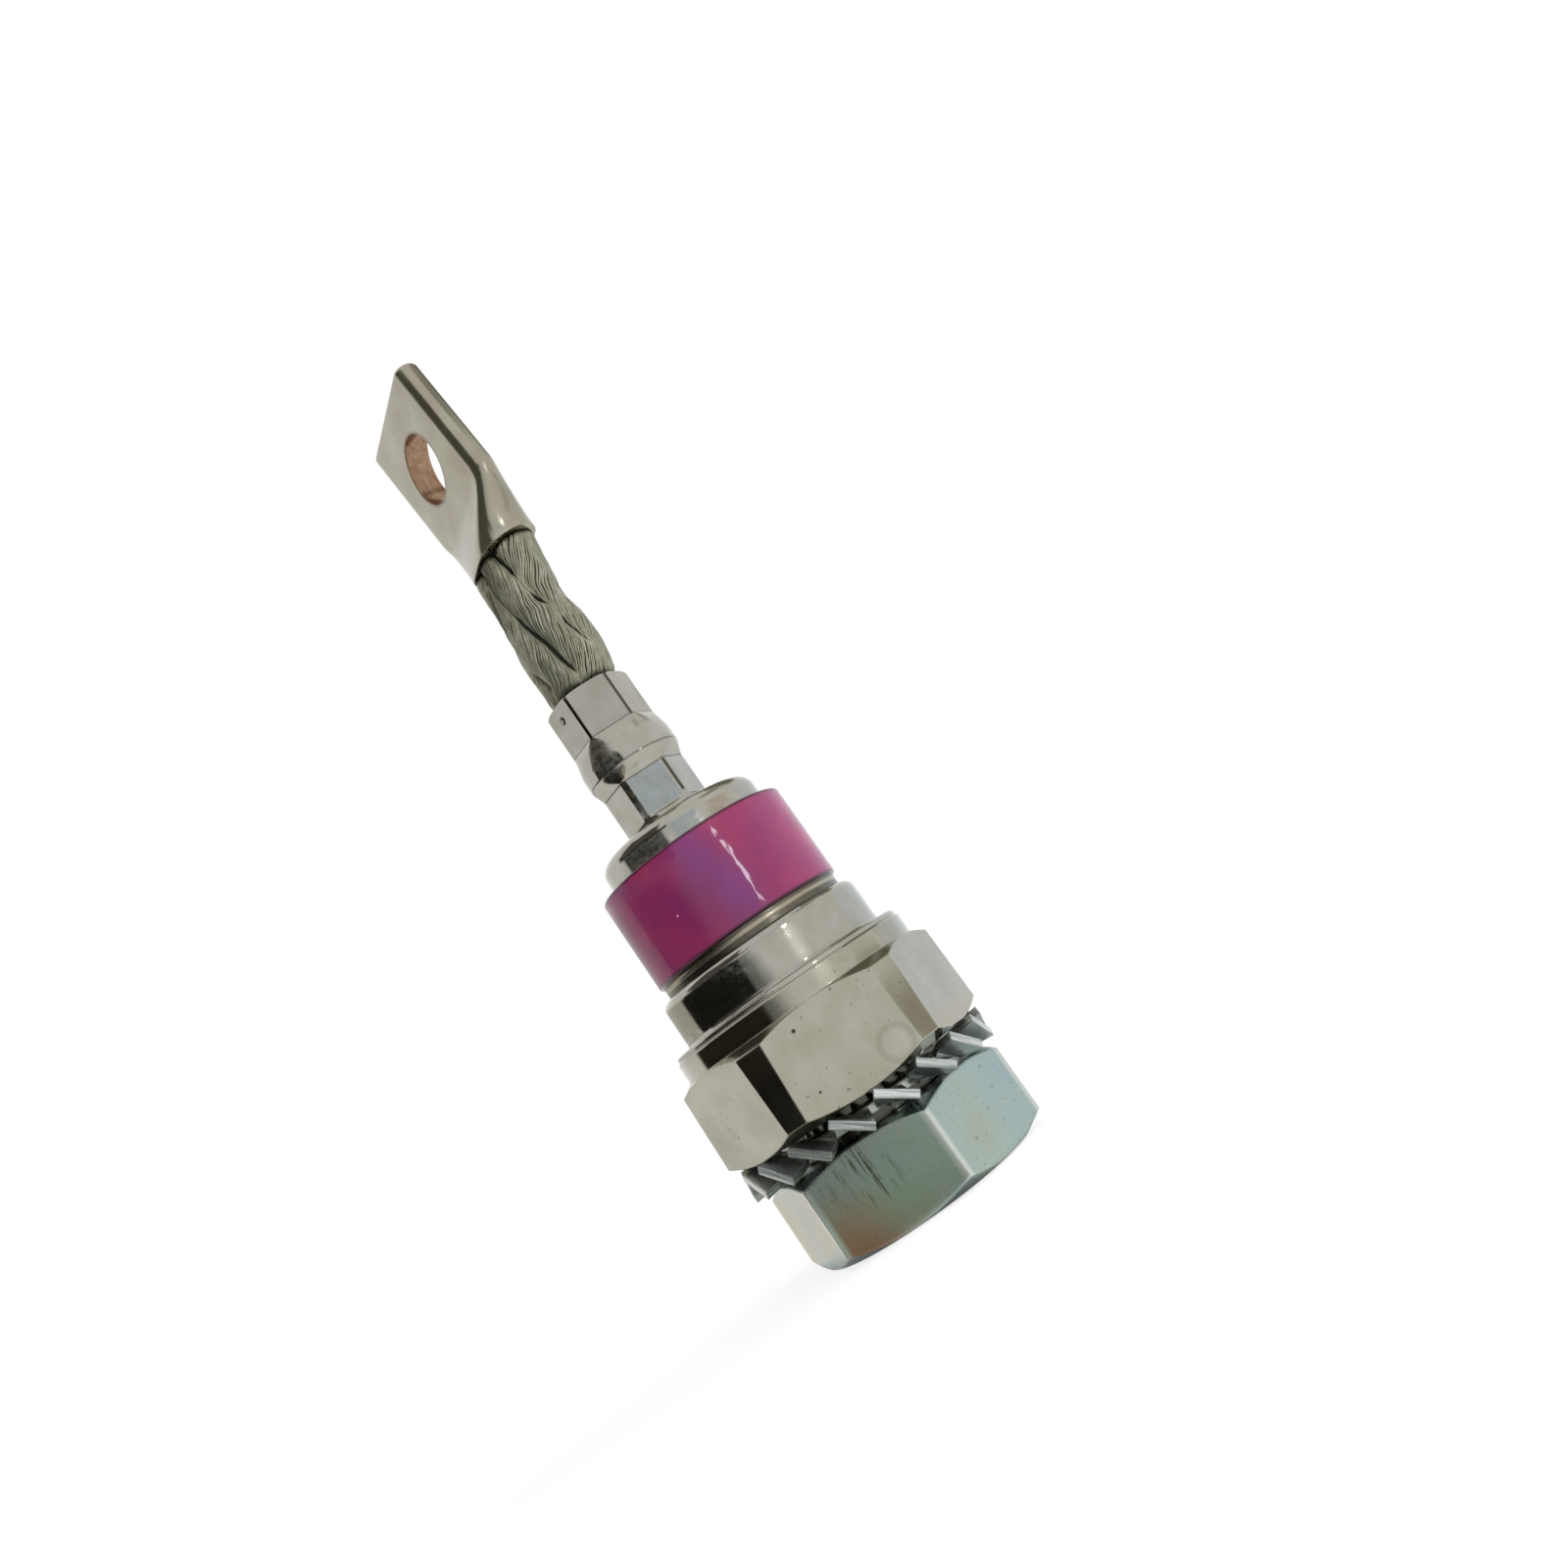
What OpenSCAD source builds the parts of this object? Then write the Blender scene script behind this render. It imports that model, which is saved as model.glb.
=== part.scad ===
// Stud mount rectifier diode: a hexagon base with a threaded stud, a sealed metal and ceramic
// housing, a terminal sleeve with two crimps, a short stranded lead and a flattened-tube lug.
// A toothed lock washer and a jam nut are screwed onto the stud.
// It stands on the nut's underside with the stud's axis on Z, and the lug's face looks along -Y.

/* [Jam nut] */
// Width of the nut across its flats
nut_af = 28.2; // [27:0.1:31]
// Height of the nut
nut_h = 10.85; // [8:0.05:14]
// Slope of the nut's chamfers
nut_chamfer = 30; // [20:1:40]
// Depth of the countersinks of the nut's bore
nut_sink = 0.8; // [0.3:0.1:1.2]
// Turn of the nut about the stud
nut_turn = 48; // [0:1:60]
// Radial gap between the stud and the nut's bore
thread_gap = 0.1; // [0.05:0.01:0.2]

/* [Lock washer] */
// Sheet thickness of the washer
washer_t = 1; // [0.6:0.1:1.4]
// Outer diameter over the teeth
washer_d = 33.5; // [32:0.1:36]
// Diameter where the teeth leave the ring
washer_root_d = 25.6; // [24:0.1:27]
// Number of teeth
washer_teeth = 18; // [12:1:20]
// Width of a tooth at its outer edge
tooth_w = 5.1; // [4:0.1:5.4]
// Width of a tooth at its root
tooth_root_w = 3.3; // [2.4:0.1:3.8]
// Twist of a tooth out of the ring's plane
tooth_twist = 35; // [20:1:40]
// Radial gap between the stud and the washer
washer_gap = 0.3; // [0.1:0.05:0.8]
// Turn of the washer about the stud
washer_turn = 2.4; // [0:0.1:20]

/* [Hexagon base] */
// Major diameter of the stud's thread
stud_d = 19.05; // [16:0.05:20]
// How far the stud's end sits inside the nut
stud_recess = 0.6; // [0:0.1:3]
// Chamfer at the stud's end
stud_chamfer = 1; // [0.3:0.1:2]
// Depth of the thread relief under the hexagon
relief_depth = 0.9; // [0.3:0.1:1.5]
// Width of the thread relief
relief_w = 1.6; // [0.8:0.1:2.4]
// Width of the hexagon across its flats
hex_af = 31.75; // [30:0.05:34]
// Height of the hexagon
hex_h = 11.65; // [8:0.05:15]
// Turned off the hexagon's sharp corners, at the top
corner_cut_top = 0.93; // [0.5:0.01:1.4]
// Turned off the hexagon's sharp corners, at the bottom
corner_cut_bottom = 0.73; // [0.5:0.01:1.4]
// Slope of the hexagon's chamfers
hex_chamfer = 32; // [20:1:40]
// Turn of the hexagon about the stud
hex_turn = 5.8; // [0:0.1:60]
// Step between the hexagon's flats and the round collar on it
collar_in = 0.125; // [0.05:0.025:0.6]
// Height of the collar
collar_h = 2.55; // [1.5:0.05:4]
// Edge break of the collar
collar_break = 0.2; // [0.1:0.05:0.5]

/* [Housing] */
// Step between the collar and the shell's weld flange
flange_in = 0.25; // [0.1:0.05:0.8]
// Thickness of the weld flange
flange_t = 0.67; // [0.4:0.01:1]
// Step between the shell and the seal ring
shell_out = 1.35; // [1.15:0.05:2]
// Height of the shell with its flange
shell_h = 6.75; // [5:0.05:9]
// Sheet thickness of the shell
shell_wall = 0.8; // [0.5:0.05:1.2]
// Rounding of the shell's top edge
shell_edge_r = 1.1; // [0.4:0.05:1.3]
// Fillet between the shell and its flange
shell_foot_r = 0.5; // [0.2:0.05:1]
// Set-back of the seal ring under the ceramic
neck_in = 0.45; // [0.2:0.05:1]
// Height of the seal ring
neck_h = 1.5; // [0.8:0.05:2.5]
// Diameter of the ceramic insulator
ceramic_d = 25.2; // [24.8:0.05:26.5]
// Height of the ceramic insulator
ceramic_h = 12.35; // [10:0.05:16]
// Wall of the ceramic insulator
ceramic_wall = 2.6; // [2.2:0.05:3]
// Rounding of the ceramic's edges
ceramic_edge_r = 0.35; // [0.2:0.05:1]
// Width of the cap's seat on the ceramic
cap_seat = 0.65; // [0.4:0.05:1.4]
// Height of the cap
cap_h = 3.8; // [2.5:0.05:5]
// Sheet thickness of the cap
cap_wall = 0.8; // [0.5:0.05:1.2]
// Rounding of the cap's top edge
cap_edge_r = 1.65; // [0.9:0.05:2.2]

/* [Terminal sleeve] */
// Wall of the sleeve at the flats of its crimps
sleeve_wall = 0.7; // [0.55:0.05:1]
// How far the shoulder between the crimps is wider than their flats
shoulder_out = 2.4; // [1.8:0.05:3]
// How far the lower crimp is wider over its corners than over its flats
low_crimp_out = 1.15; // [0.8:0.05:1.5]
// How far the upper crimp is wider over its corners than over its flats
top_crimp_out = 1.4; // [0.8:0.05:1.5]
// Height of the plain foot under the lower crimp
foot_h = 1.25; // [1.1:0.05:2.5]
// Radius of the solder fillet round the sleeve's foot
foot_fillet_r = 0.9; // [0.4:0.1:1.2]
// Height of the lower crimp
low_crimp_h = 5.5; // [4:0.05:8]
// Height of the rounded underside of the shoulder
shoulder_under_h = 1.8; // [1:0.05:2.5]
// Height of the shoulder
shoulder_h = 4.45; // [2:0.05:7]
// Height of the upper crimp
top_crimp_h = 6.4; // [4:0.05:9]
// Run-out of the crimp dies at the ends of the flats
crimp_runout = 0.5; // [0.2:0.05:0.8]
// Rounding of the sleeve's end
sleeve_end_r = 0.5; // [0.4:0.05:1.35]
// Turn of the crimps about the axis
crimp_turn = 37.5; // [0:0.5:60]
// Diameter of the blind inspection hole
peep_d = 1.1; // [0.6:0.05:1.5]
// Depth of the inspection hole
peep_depth = 0.5; // [0.3:0.05:0.6]
// Distance of the inspection hole from the sleeve's end
peep_from_end = 1.9; // [1.6:0.05:3]
// Length of the sleeve's spigot inside the cap
spigot_l = 2; // [1:0.1:3]
// Wall of the spigot
spigot_wall = 1.45; // [0.8:0.05:1.8]

/* [Stranded lead] */
// Free length of the lead between sleeve and lug
lead_free = 21.45; // [18:0.1:40]
// Diameter of the lead inside the sleeve
lead_d = 8.5; // [7.6:0.1:8.6]
// How far the lead opens out past the sleeve
lead_loose = 0.3; // [0:0.05:0.5]
// Swell of the lead's radius over the sleeve
lead_swell = 0.54; // [0.2:0.02:1]
// Height of the swell over the sleeve's end
swell_at = 6.25; // [4:0.1:9]
// Reach of the swell along the lead
swell_reach = 4.5; // [2:0.1:6]
// Length over which the lead opens out to the barrel's mouth
lead_flare_l = 8; // [3:0.1:10]
// How far the lead bulges past the barrel's outside at its mouth
lead_bulge = 0.2; // [-0.4:0.05:0.4]
// Number of strands round the lead
lead_strands = 6; // [5:1:8]
// Turn of a strand about the axis, in degrees a millimetre
lead_lay = 3.45; // [2:0.05:5]
// Depth of the furrows between the strands
lead_furrow = 0.85; // [0.2:0.05:1]
// Sideways set of the lead along X
lead_shift_x = 2.55; // [-3:0.05:3]
// Sideways set of the lead along Y
lead_shift_y = 0.3; // [-1:0.1:1]
// Radial gap between the lead and what it is crimped into
lead_gap = 0.05; // [0.02:0.01:0.2]

/* [Lug] */
// Width of the lug's oval barrel
barrel_w = 11.8; // [11:0.1:14]
// Thickness of the oval barrel
barrel_t = 9; // [8.6:0.1:10]
// Wall of the barrel at its mouth
barrel_wall = 1.3; // [0.8:0.05:1.5]
// Depth of the lead in the barrel
barrel_depth = 4; // [2.5:0.1:5]
// Width of the flattened tongue
tongue_w = 20; // [17:0.1:22]
// Thickness of the flattened tongue
tongue_t = 3.3; // [2.6:0.1:4]
// Length over which the barrel flattens to the tongue
flatten_l = 7.6; // [6.5:0.1:9.6]
// Set of the tongue's middle behind the barrel's middle
tongue_set = 0.4; // [0:0.05:1]
// Length of the lug
lug_l = 24.4; // [21.5:0.1:30]
// Diameter of the terminal hole
lug_hole_d = 9.2; // [6:0.1:9.4]
// Distance of the hole from the barrel's mouth
lug_hole_from = 14.6; // [14.5:0.1:16]
// Rounding of the tongue's end
tip_r = 0.6; // [0.2:0.05:1]
// Lean of the lug in the plane of its tongue
lug_lean = 7.5; // [-8:0.1:8]

/* [Pressure contact] */
// Width of the weld ring
weld_ring_w = 1.6; // [1:0.1:2]
// Set-back of the weld ring's edge under the flange
weld_ring_in = 0.9; // [0.5:0.05:1.4]
// Height of the weld ring
weld_ring_h = 0.9; // [0.5:0.05:1.4]
// Set-back of the base's contact pedestal under the lower disc
pedestal_in = 0.1; // [0.05:0.05:0.6]
// Height of the pedestal
pedestal_h = 1; // [0.5:0.1:1.5]
// Radial play of the stack in the clamp cup
stack_play = 0.3; // [0.15:0.05:0.6]
// Thickness of the lower molybdenum disc
low_disc_t = 1.6; // [1:0.1:2]
// Width of the coating round the silicon wafer
coating_w = 0.8; // [0.4:0.05:1.4]
// Thickness of the silicon wafer
wafer_t = 0.4; // [0.3:0.05:0.8]
// Height of the coating round the wafer's edge
coating_h = 0.75; // [0.4:0.05:1]
// Set-back of the upper molybdenum disc from the wafer's edge
top_disc_in = 1; // [0.6:0.05:1.6]
// Thickness of the upper molybdenum disc
top_disc_t = 1.2; // [0.8:0.1:2]
// Thickness of the contact post's flange
post_flange_t = 2; // [1:0.1:2.5]
// Wall of the contact post's stem round its socket
post_wall = 0.95; // [0.5:0.05:1.1]
// Length of the contact post's stem
post_l = 10; // [8:0.1:10.5]
// Depth of the socket in the post's end
post_socket = 5; // [3:0.1:7]
// Wall of the insulating sleeve
insulator_wall = 0.7; // [0.4:0.05:0.9]
// Length of the insulating sleeve
insulator_l = 7.5; // [6:0.1:8]
// Thickness of the insulating washer
insulator_t = 1; // [0.6:0.1:1.4]
// Thickness of the thrust washer
thrust_t = 1.2; // [0.8:0.1:1.6]
// Sheet thickness of a disc spring
spring_t = 0.7; // [0.5:0.05:0.9]
// Cone height of a disc spring
spring_cone = 0.45; // [0.2:0.05:0.6]
// Width of the retaining ring inside the cup's bore
retainer_w = 2.4; // [1.6:0.1:2.8]
// Thickness of the retaining ring
retainer_t = 1.2; // [0.8:0.1:1.5]
// Radial gap between the clamp cup and the ceramic
cup_gap = 0.5; // [0.3:0.05:0.9]
// Wall of the clamp cup
cup_wall = 0.9; // [0.7:0.05:1]
// Depth of the retaining ring's groove in the cup
cup_groove = 0.5; // [0.3:0.05:0.6]
// Rim of the clamp cup above the retaining ring
cup_rim = 1; // [0.6:0.1:1.4]
// Width of the clamp cup's foot outside its wall
cup_foot_w = 1.5; // [0.8:0.05:1.8]
// Thickness of the clamp cup's foot
cup_foot_t = 0.9; // [0.6:0.1:1.2]
// Diameter of the inner lead
inner_lead_d = 6; // [4.5:0.1:6.2]
// Radial play of the inner pieces
play = 0.1; // [0.05:0.01:0.2]

/* [Hidden] */
$fn = 96;
eps = 0.01;
// Step between a round face and the flats or the taper beside it
edge_land = 0.1;
// Length over which the lead is pressed into the sleeve, and into the barrel
lead_press = 1.2;
lead_tuck = 0.6;
// Turn of the furrows at the sleeve's end
strand_turn = -21.6;
// Softness of the bends where the lug spreads, and share of the spread in which its faces are pressed flat
spread_softness = 0.7;
press_share = 0.83;
// Share of the lead's sideways bend that comes only near the lug, and powers of the bends at both ends
late_bend = 0.47;
early_power = 11;
late_power = 18;
// Number of sections of the barrel's hollow
barrel_steps = 4;
// How far a washer's tooth reaches into the ring
tooth_root_in = 0.6;
// Share of a tooth's length over which it twists
tooth_twist_share = 0.45;
// Height of the washer over its twisted teeth
washer_h = tooth_w * sin(tooth_twist) + washer_t * cos(tooth_twist);
// Heights of the seats, from the nut's underside up
z_seat = nut_h + washer_h;
z_hex = z_seat + hex_h;
z_collar = z_hex + collar_h;
z_shell = z_collar + shell_h;
z_ceramic = z_shell + neck_h;
z_cap = z_ceramic + ceramic_h;
z_sleeve = z_cap + cap_h;
z_shoulder_under = z_sleeve + foot_h + low_crimp_h;
z_shoulder = z_shoulder_under + shoulder_under_h;
z_top_crimp = z_shoulder + shoulder_h;
z_lead = z_top_crimp + top_crimp_h;
z_barrel = z_lead + lead_free;
// Heights of the pressure contact, from the collar up
z_low_disc = z_collar + pedestal_h;
z_wafer = z_low_disc + low_disc_t;
z_top_disc = z_wafer + wafer_t;
z_post = z_top_disc + top_disc_t;
z_insulator = z_post + post_flange_t;
z_thrust = z_insulator + insulator_t;
z_springs = z_thrust + thrust_t;
spring_pitch = spring_t + spring_cone;
spring_count = 3;
z_retainer = z_springs + spring_count * spring_pitch;
z_cup_rim = z_retainer + retainer_t + cup_rim;
z_inner_lead = z_post + post_flange_t + post_l - post_socket;
// Diameters of the base and the housing, from the hexagon in and from the ceramic in
collar_d = hex_af - 2 * collar_in;
flange_d = collar_d - 2 * flange_in;
weld_ring_d = flange_d - 2 * weld_ring_in;
weld_ring_bore = weld_ring_d - 2 * weld_ring_w;
ceramic_bore = ceramic_d - 2 * ceramic_wall;
neck_d = ceramic_d - 2 * neck_in;
neck_bore = ceramic_bore + 2 * play;
shell_d = neck_d + 2 * shell_out;
cap_d = ceramic_bore + 2 * cap_seat;
// Diameters of the pressure contact, from the ceramic in
cup_d = ceramic_bore - 2 * cup_gap;
cup_bore = cup_d - 2 * cup_wall;
cup_foot_d = cup_d + 2 * cup_foot_w;
stack_d = cup_bore - 2 * stack_play;
pedestal_d = stack_d - 2 * pedestal_in;
wafer_d = stack_d - 2 * coating_w;
top_disc_d = wafer_d - 2 * top_disc_in;
retainer_d = cup_bore + 2 * cup_groove - 2 * play;
retainer_bore = cup_bore - 2 * retainer_w;
// Bores of the sleeve, and where the web between them lies
top_bore_r = lead_d / 2 + lead_gap;
low_bore_r = inner_lead_d / 2 + lead_gap;
z_low_bore_end = z_shoulder_under;
// Diameters of the sleeve and the contact post, from the leads out
crimp_af = 2 * (top_bore_r + sleeve_wall);
low_crimp_d = crimp_af + low_crimp_out;
top_crimp_d = crimp_af + top_crimp_out;
shoulder_d = crimp_af + shoulder_out;
spigot_d = 2 * (low_bore_r + spigot_wall);
post_d = 2 * (low_bore_r + post_wall);
// Diameters of the insulating sleeve and of what slides over it
insulator_bore = post_d + 2 * play;
insulator_d = insulator_bore + 2 * insulator_wall;
stack_bore = insulator_d + 2 * play;

function mix(a, b, t) = a + (b - a) * t;
function ease(t) = t <= 0 ? 0 : t >= 1 ? 1 : t * t * (3 - 2 * t);

// A ring of points lofted to the next, with flat ends, as one closed solid
module loft(rings) {
    n = len(rings[0]);
    m = len(rings);
    points = [for (ring = rings) each ring];
    sides = [for (j = [0 : m - 2], i = [0 : n - 1])
        let (a = j * n + i, b = j * n + (i + 1) % n)
            each [[a, a + n, b + n], [a, b + n, b]]];
    bottom = [for (i = [0 : n - 1]) i];
    top = [for (i = [n - 1 : -1 : 0]) (m - 1) * n + i];
    polyhedron(points, concat([bottom], sides, [top]), convexity = 6);
}

// A flat washer standing on height z
module washer_disc(z, t, outer, bore) {
    translate([0, 0, z])
        difference() {
            cylinder(d = outer, h = t);
            translate([0, 0, -eps])
                cylinder(d = bore, h = t + 2 * eps);
        }
}

// A hexagon prism across its flats, with its corners turned to an outline of radius and height
module turned_hexagon(af, h, turn, outline) {
    intersection() {
        rotate(turn)
            cylinder(d = af / cos(30), h = h, $fn = 6);
        rotate_extrude()
            polygon(outline);
    }
}

// Hexagonal jam nut, chamfered on both ends, with a countersunk bore
module hex_nut() {
    past_corner_r = nut_af / sqrt(3) + 1;
    face_r = nut_af / 2 - edge_land;
    drop = (past_corner_r - face_r) * tan(nut_chamfer);
    bore_r = stud_d / 2 + thread_gap;
    color([0.55, 0.62, 0.6])
        difference() {
            turned_hexagon(nut_af, nut_h, nut_turn, [
                [0, 0], [face_r, 0], [past_corner_r, drop],
                [past_corner_r, nut_h - drop], [face_r, nut_h], [0, nut_h]
            ]);
            rotate_extrude()
                polygon([
                    [0, -eps], [bore_r + nut_sink, -eps], [bore_r, nut_sink],
                    [bore_r, nut_h - nut_sink], [bore_r + nut_sink, nut_h + eps], [0, nut_h + eps]
                ]);
        }
}

// One section of a twisted tooth at radius r, a rectangle turned about the radial direction
function tooth_section(r, w, twist) = [
    for (c = [[-1, -1], [1, -1], [1, 1], [-1, 1]])
        let (x = c[0] * w / 2, y = c[1] * washer_t / 2)
            [x * cos(twist) - y * sin(twist), x * sin(twist) + y * cos(twist), r]
];

// A tooth that leaves the ring flat and is twisted over the first part of its length
module tooth() {
    root_r = washer_root_d / 2 - tooth_root_in;
    tip_radius = washer_d / 2;
    steps = 8;
    rotate([90, 0, 90])
        loft([for (k = [0 : steps])
            let (t = k / steps)
                tooth_section(mix(root_r, tip_radius, t), mix(tooth_root_w, tooth_w, t),
                    -tooth_twist * ease(t / tooth_twist_share))]);
}

// Lock washer with external twisted teeth, resting on the nut
module lock_washer() {
    color([0.62, 0.64, 0.62])
        translate([0, 0, nut_h + washer_h / 2])
            union() {
                washer_disc(-washer_t / 2, washer_t, washer_root_d, stud_d + 2 * washer_gap);
                for (i = [0 : washer_teeth - 1])
                    rotate(washer_turn + i * 360 / washer_teeth)
                        tooth();
            }
}

// Hexagon base, collar, contact pedestal and stud, turned from one piece of copper
module stud_base() {
    sharp_r = hex_af / sqrt(3);
    top_r = sharp_r - corner_cut_top;
    bottom_r = sharp_r - corner_cut_bottom;
    bottom_face_r = hex_af / 2;
    top_drop = (top_r - collar_d / 2) * tan(hex_chamfer);
    bottom_drop = (bottom_r - bottom_face_r) * tan(hex_chamfer);
    stud_r = stud_d / 2;
    z_end = stud_recess;
    color([0.66, 0.65, 0.6]) {
        difference() {
            union() {
                translate([0, 0, z_seat])
                    turned_hexagon(hex_af, hex_h, hex_turn, [
                        [0, 0], [bottom_face_r, 0], [bottom_r, bottom_drop],
                        [top_r, hex_h - max(top_drop, eps)], [collar_d / 2, hex_h], [0, hex_h]
                    ]);
                rotate_extrude()
                    polygon([
                        [0, z_end], [stud_r - stud_chamfer, z_end], [stud_r, z_end + stud_chamfer],
                        [stud_r, z_seat - relief_w - relief_depth],
                        [stud_r - relief_depth, z_seat - relief_w],
                        [stud_r - relief_depth, z_seat], [stud_r - relief_depth, z_hex - eps],
                        [collar_d / 2, z_hex - eps], [collar_d / 2, z_collar - collar_break],
                        [collar_d / 2 - collar_break, z_collar], [pedestal_d / 2, z_collar],
                        [pedestal_d / 2, z_low_disc], [0, z_low_disc]
                    ]);
            }
            translate([0, 0, z_collar - weld_ring_h])
                difference() {
                    cylinder(d = weld_ring_d, h = weld_ring_h + eps);
                    translate([0, 0, -eps])
                        cylinder(d = weld_ring_bore, h = weld_ring_h + 3 * eps);
                }
        }
    }
}

// Steel ring brazed into the collar, which takes the shell's weld
module weld_ring() {
    color([0.5, 0.5, 0.5])
        washer_disc(z_collar - weld_ring_h, weld_ring_h, weld_ring_d, weld_ring_bore);
}

// A quarter of a circle from one angle to another, as outline points
function arc(centre, r, from, to, steps = 10) = [
    for (k = [0 : steps])
        let (a = mix(from, to, k / steps))
            [centre[0] + r * cos(a), centre[1] + r * sin(a)]
];

// Drawn shell with a weld flange, turned in over the seal ring at its top
module housing_shell() {
    r = shell_d / 2;
    inner_r = r - shell_wall;
    lip_r = neck_bore / 2;
    flange_r = flange_d / 2;
    color([0.75, 0.74, 0.72])
        translate([0, 0, z_collar])
            rotate_extrude()
                polygon(concat(
                    [[inner_r, 0], [flange_r, 0]],
                    arc([flange_r - flange_t / 2, flange_t / 2], flange_t / 2, 0, 90, 6),
                    arc([r + shell_foot_r, flange_t + shell_foot_r], shell_foot_r, 270, 180, 6),
                    arc([r - shell_edge_r, shell_h - shell_edge_r], shell_edge_r, 0, 90),
                    [[lip_r, shell_h], [lip_r, shell_h - shell_wall], [inner_r, shell_h - shell_wall]]
                ));
}

// Recessed ring between the shell and the ceramic
module lower_seal_ring() {
    color([0.68, 0.62, 0.5])
        washer_disc(z_shell, neck_h, neck_d, neck_bore);
}

// Glazed ceramic insulator, a ring with rounded edges
module ceramic_insulator() {
    r = ceramic_d / 2;
    e = ceramic_edge_r;
    color([0.5, 0.2, 0.4])
        translate([0, 0, z_ceramic])
            rotate_extrude()
                polygon(concat(
                    [[ceramic_bore / 2, 0]],
                    arc([r - e, e], e, -90, 0, 6),
                    arc([r - e, ceramic_h - e], e, 0, 90, 6),
                    [[ceramic_bore / 2, ceramic_h]]
                ));
}

// Drawn cap on the ceramic, with a large rounding and a hole for the sleeve's spigot
module top_cap() {
    r = cap_d / 2;
    inner_edge_r = max(cap_edge_r - cap_wall, eps);
    color([0.7, 0.71, 0.72])
        translate([0, 0, z_cap])
            rotate_extrude()
                polygon(concat(
                    [[r - cap_wall, 0], [r, 0]],
                    arc([r - cap_edge_r, cap_h - cap_edge_r], cap_edge_r, 0, 90),
                    [[spigot_d / 2, cap_h], [spigot_d / 2, cap_h - cap_wall]],
                    arc([r - cap_edge_r, cap_h - cap_edge_r], inner_edge_r, 90, 0)
                ));
}

// A die mark of a crimp: the metal outside one flat, with sloped run-outs at both ends
module crimp_flat(z, h) {
    reach = shoulder_d;
    rotate([90, 0, 0])
        linear_extrude(height = reach, center = true)
            polygon([
                [crimp_af / 2, z], [crimp_af / 2, z + h],
                [crimp_af / 2 + reach, z + h + reach * crimp_runout],
                [crimp_af / 2 + reach, z - reach * crimp_runout]
            ]);
}

// Terminal sleeve: a spigot in the cap, a lower and an upper hexagonal crimp, a shoulder between
module terminal_sleeve() {
    low_r = low_crimp_d / 2;
    top_r = top_crimp_d / 2;
    shoulder_r = shoulder_d / 2;
    wide_r = shoulder_r - edge_land;
    under = min(shoulder_under_h, shoulder_h);
    peep_z = z_lead - peep_from_end;
    color([0.72, 0.72, 0.7])
        difference() {
            rotate_extrude()
                polygon(concat(
                    [[0, z_sleeve - spigot_l], [spigot_d / 2, z_sleeve - spigot_l],
                        [spigot_d / 2, z_sleeve], [low_r + foot_fillet_r, z_sleeve]],
                    arc([low_r + foot_fillet_r, z_sleeve + foot_fillet_r + edge_land], foot_fillet_r, 270, 180, 6),
                    [[low_r, z_shoulder_under]],
                    [for (k = [1 : 8])
                        let (t = k / 8)
                            [mix(low_r, shoulder_r, sin(90 * t)), z_shoulder_under + under * t]],
                    [[wide_r, z_top_crimp]],
                    arc([top_r - sleeve_end_r, z_lead - sleeve_end_r], sleeve_end_r, 0, 90, 8),
                    [[0, z_lead]]
                ));
            for (i = [0 : 5])
                rotate(crimp_turn + 60 * i) {
                    crimp_flat(z_sleeve + foot_h, low_crimp_h);
                    crimp_flat(z_top_crimp, top_crimp_h * 2);
                }
            translate([0, 0, z_top_crimp])
                cylinder(r = top_bore_r, h = top_crimp_h + eps);
            translate([0, 0, z_sleeve - spigot_l - eps])
                cylinder(r = low_bore_r, h = z_low_bore_end - z_sleeve + spigot_l);
            rotate(crimp_turn - 120)
                translate([crimp_af / 2 - peep_depth, 0, peep_z])
                    rotate([0, 90, 0])
                        cylinder(d = peep_d, h = shoulder_d);
        }
}

// Height of the strands at an angle and a height over the sleeve, from 0 in a furrow to 1 on a strand's back
function strand_back(q, h) =
    let (f = lead_strands * (q - strand_turn + lead_lay * h) / 360)
        1 - pow(abs(2 * (f - floor(f)) - 1), 3);

// Half-widths of the lead along X and Y at a height over the sleeve's end
function lead_half(h) =
    let (
        r = lead_d / 2,
        swell = lead_swell * exp(-pow((h - swell_at) / swell_reach, 2)),
        flare = ease((h - lead_free + lead_flare_l + lead_tuck) / lead_flare_l),
        tuck = ease((h - lead_free + lead_tuck) / lead_tuck),
        pressed = 1 - ease(h / lead_press),
        mouth = lug_half(0),
        inside = lug_half(h - lead_free)
    )
    [for (i = [0, 1])
        mix(mix(mix(r + lead_loose + swell, mouth[i] + lead_bulge, flare), inside[i] - barrel_wall - lead_gap,
            tuck), r, pressed)];

// Sideways place of the lead's middle at a height over the sleeve's end
function lead_middle(h) =
    let (t = min(max(h / lead_free, 0), 1), early = 1 - pow(1 - t, early_power), late = pow(t, late_power))
        h > lead_free ? lug_middle(h - lead_free)
            : [lead_shift_x * mix(early, late, late_bend), lead_shift_y * late];

// Furrows fade out where the lead is pressed into the sleeve and the barrel
function lead_depth(h) =
    lead_furrow * ease(h / lead_press) * (1 - ease((h - lead_free + lead_tuck) / lead_tuck));

function lead_ring(h, n) =
    let (half = lead_half(h), middle = lead_middle(h), depth = lead_depth(h))
        [for (i = [0 : n - 1])
            let (q = 360 * i / n, furrow = depth * (1 - strand_back(q, h)))
                [middle[0] + (half[0] - furrow) * cos(q), middle[1] + (half[1] - furrow) * sin(q),
                    z_lead + h]];

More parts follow.
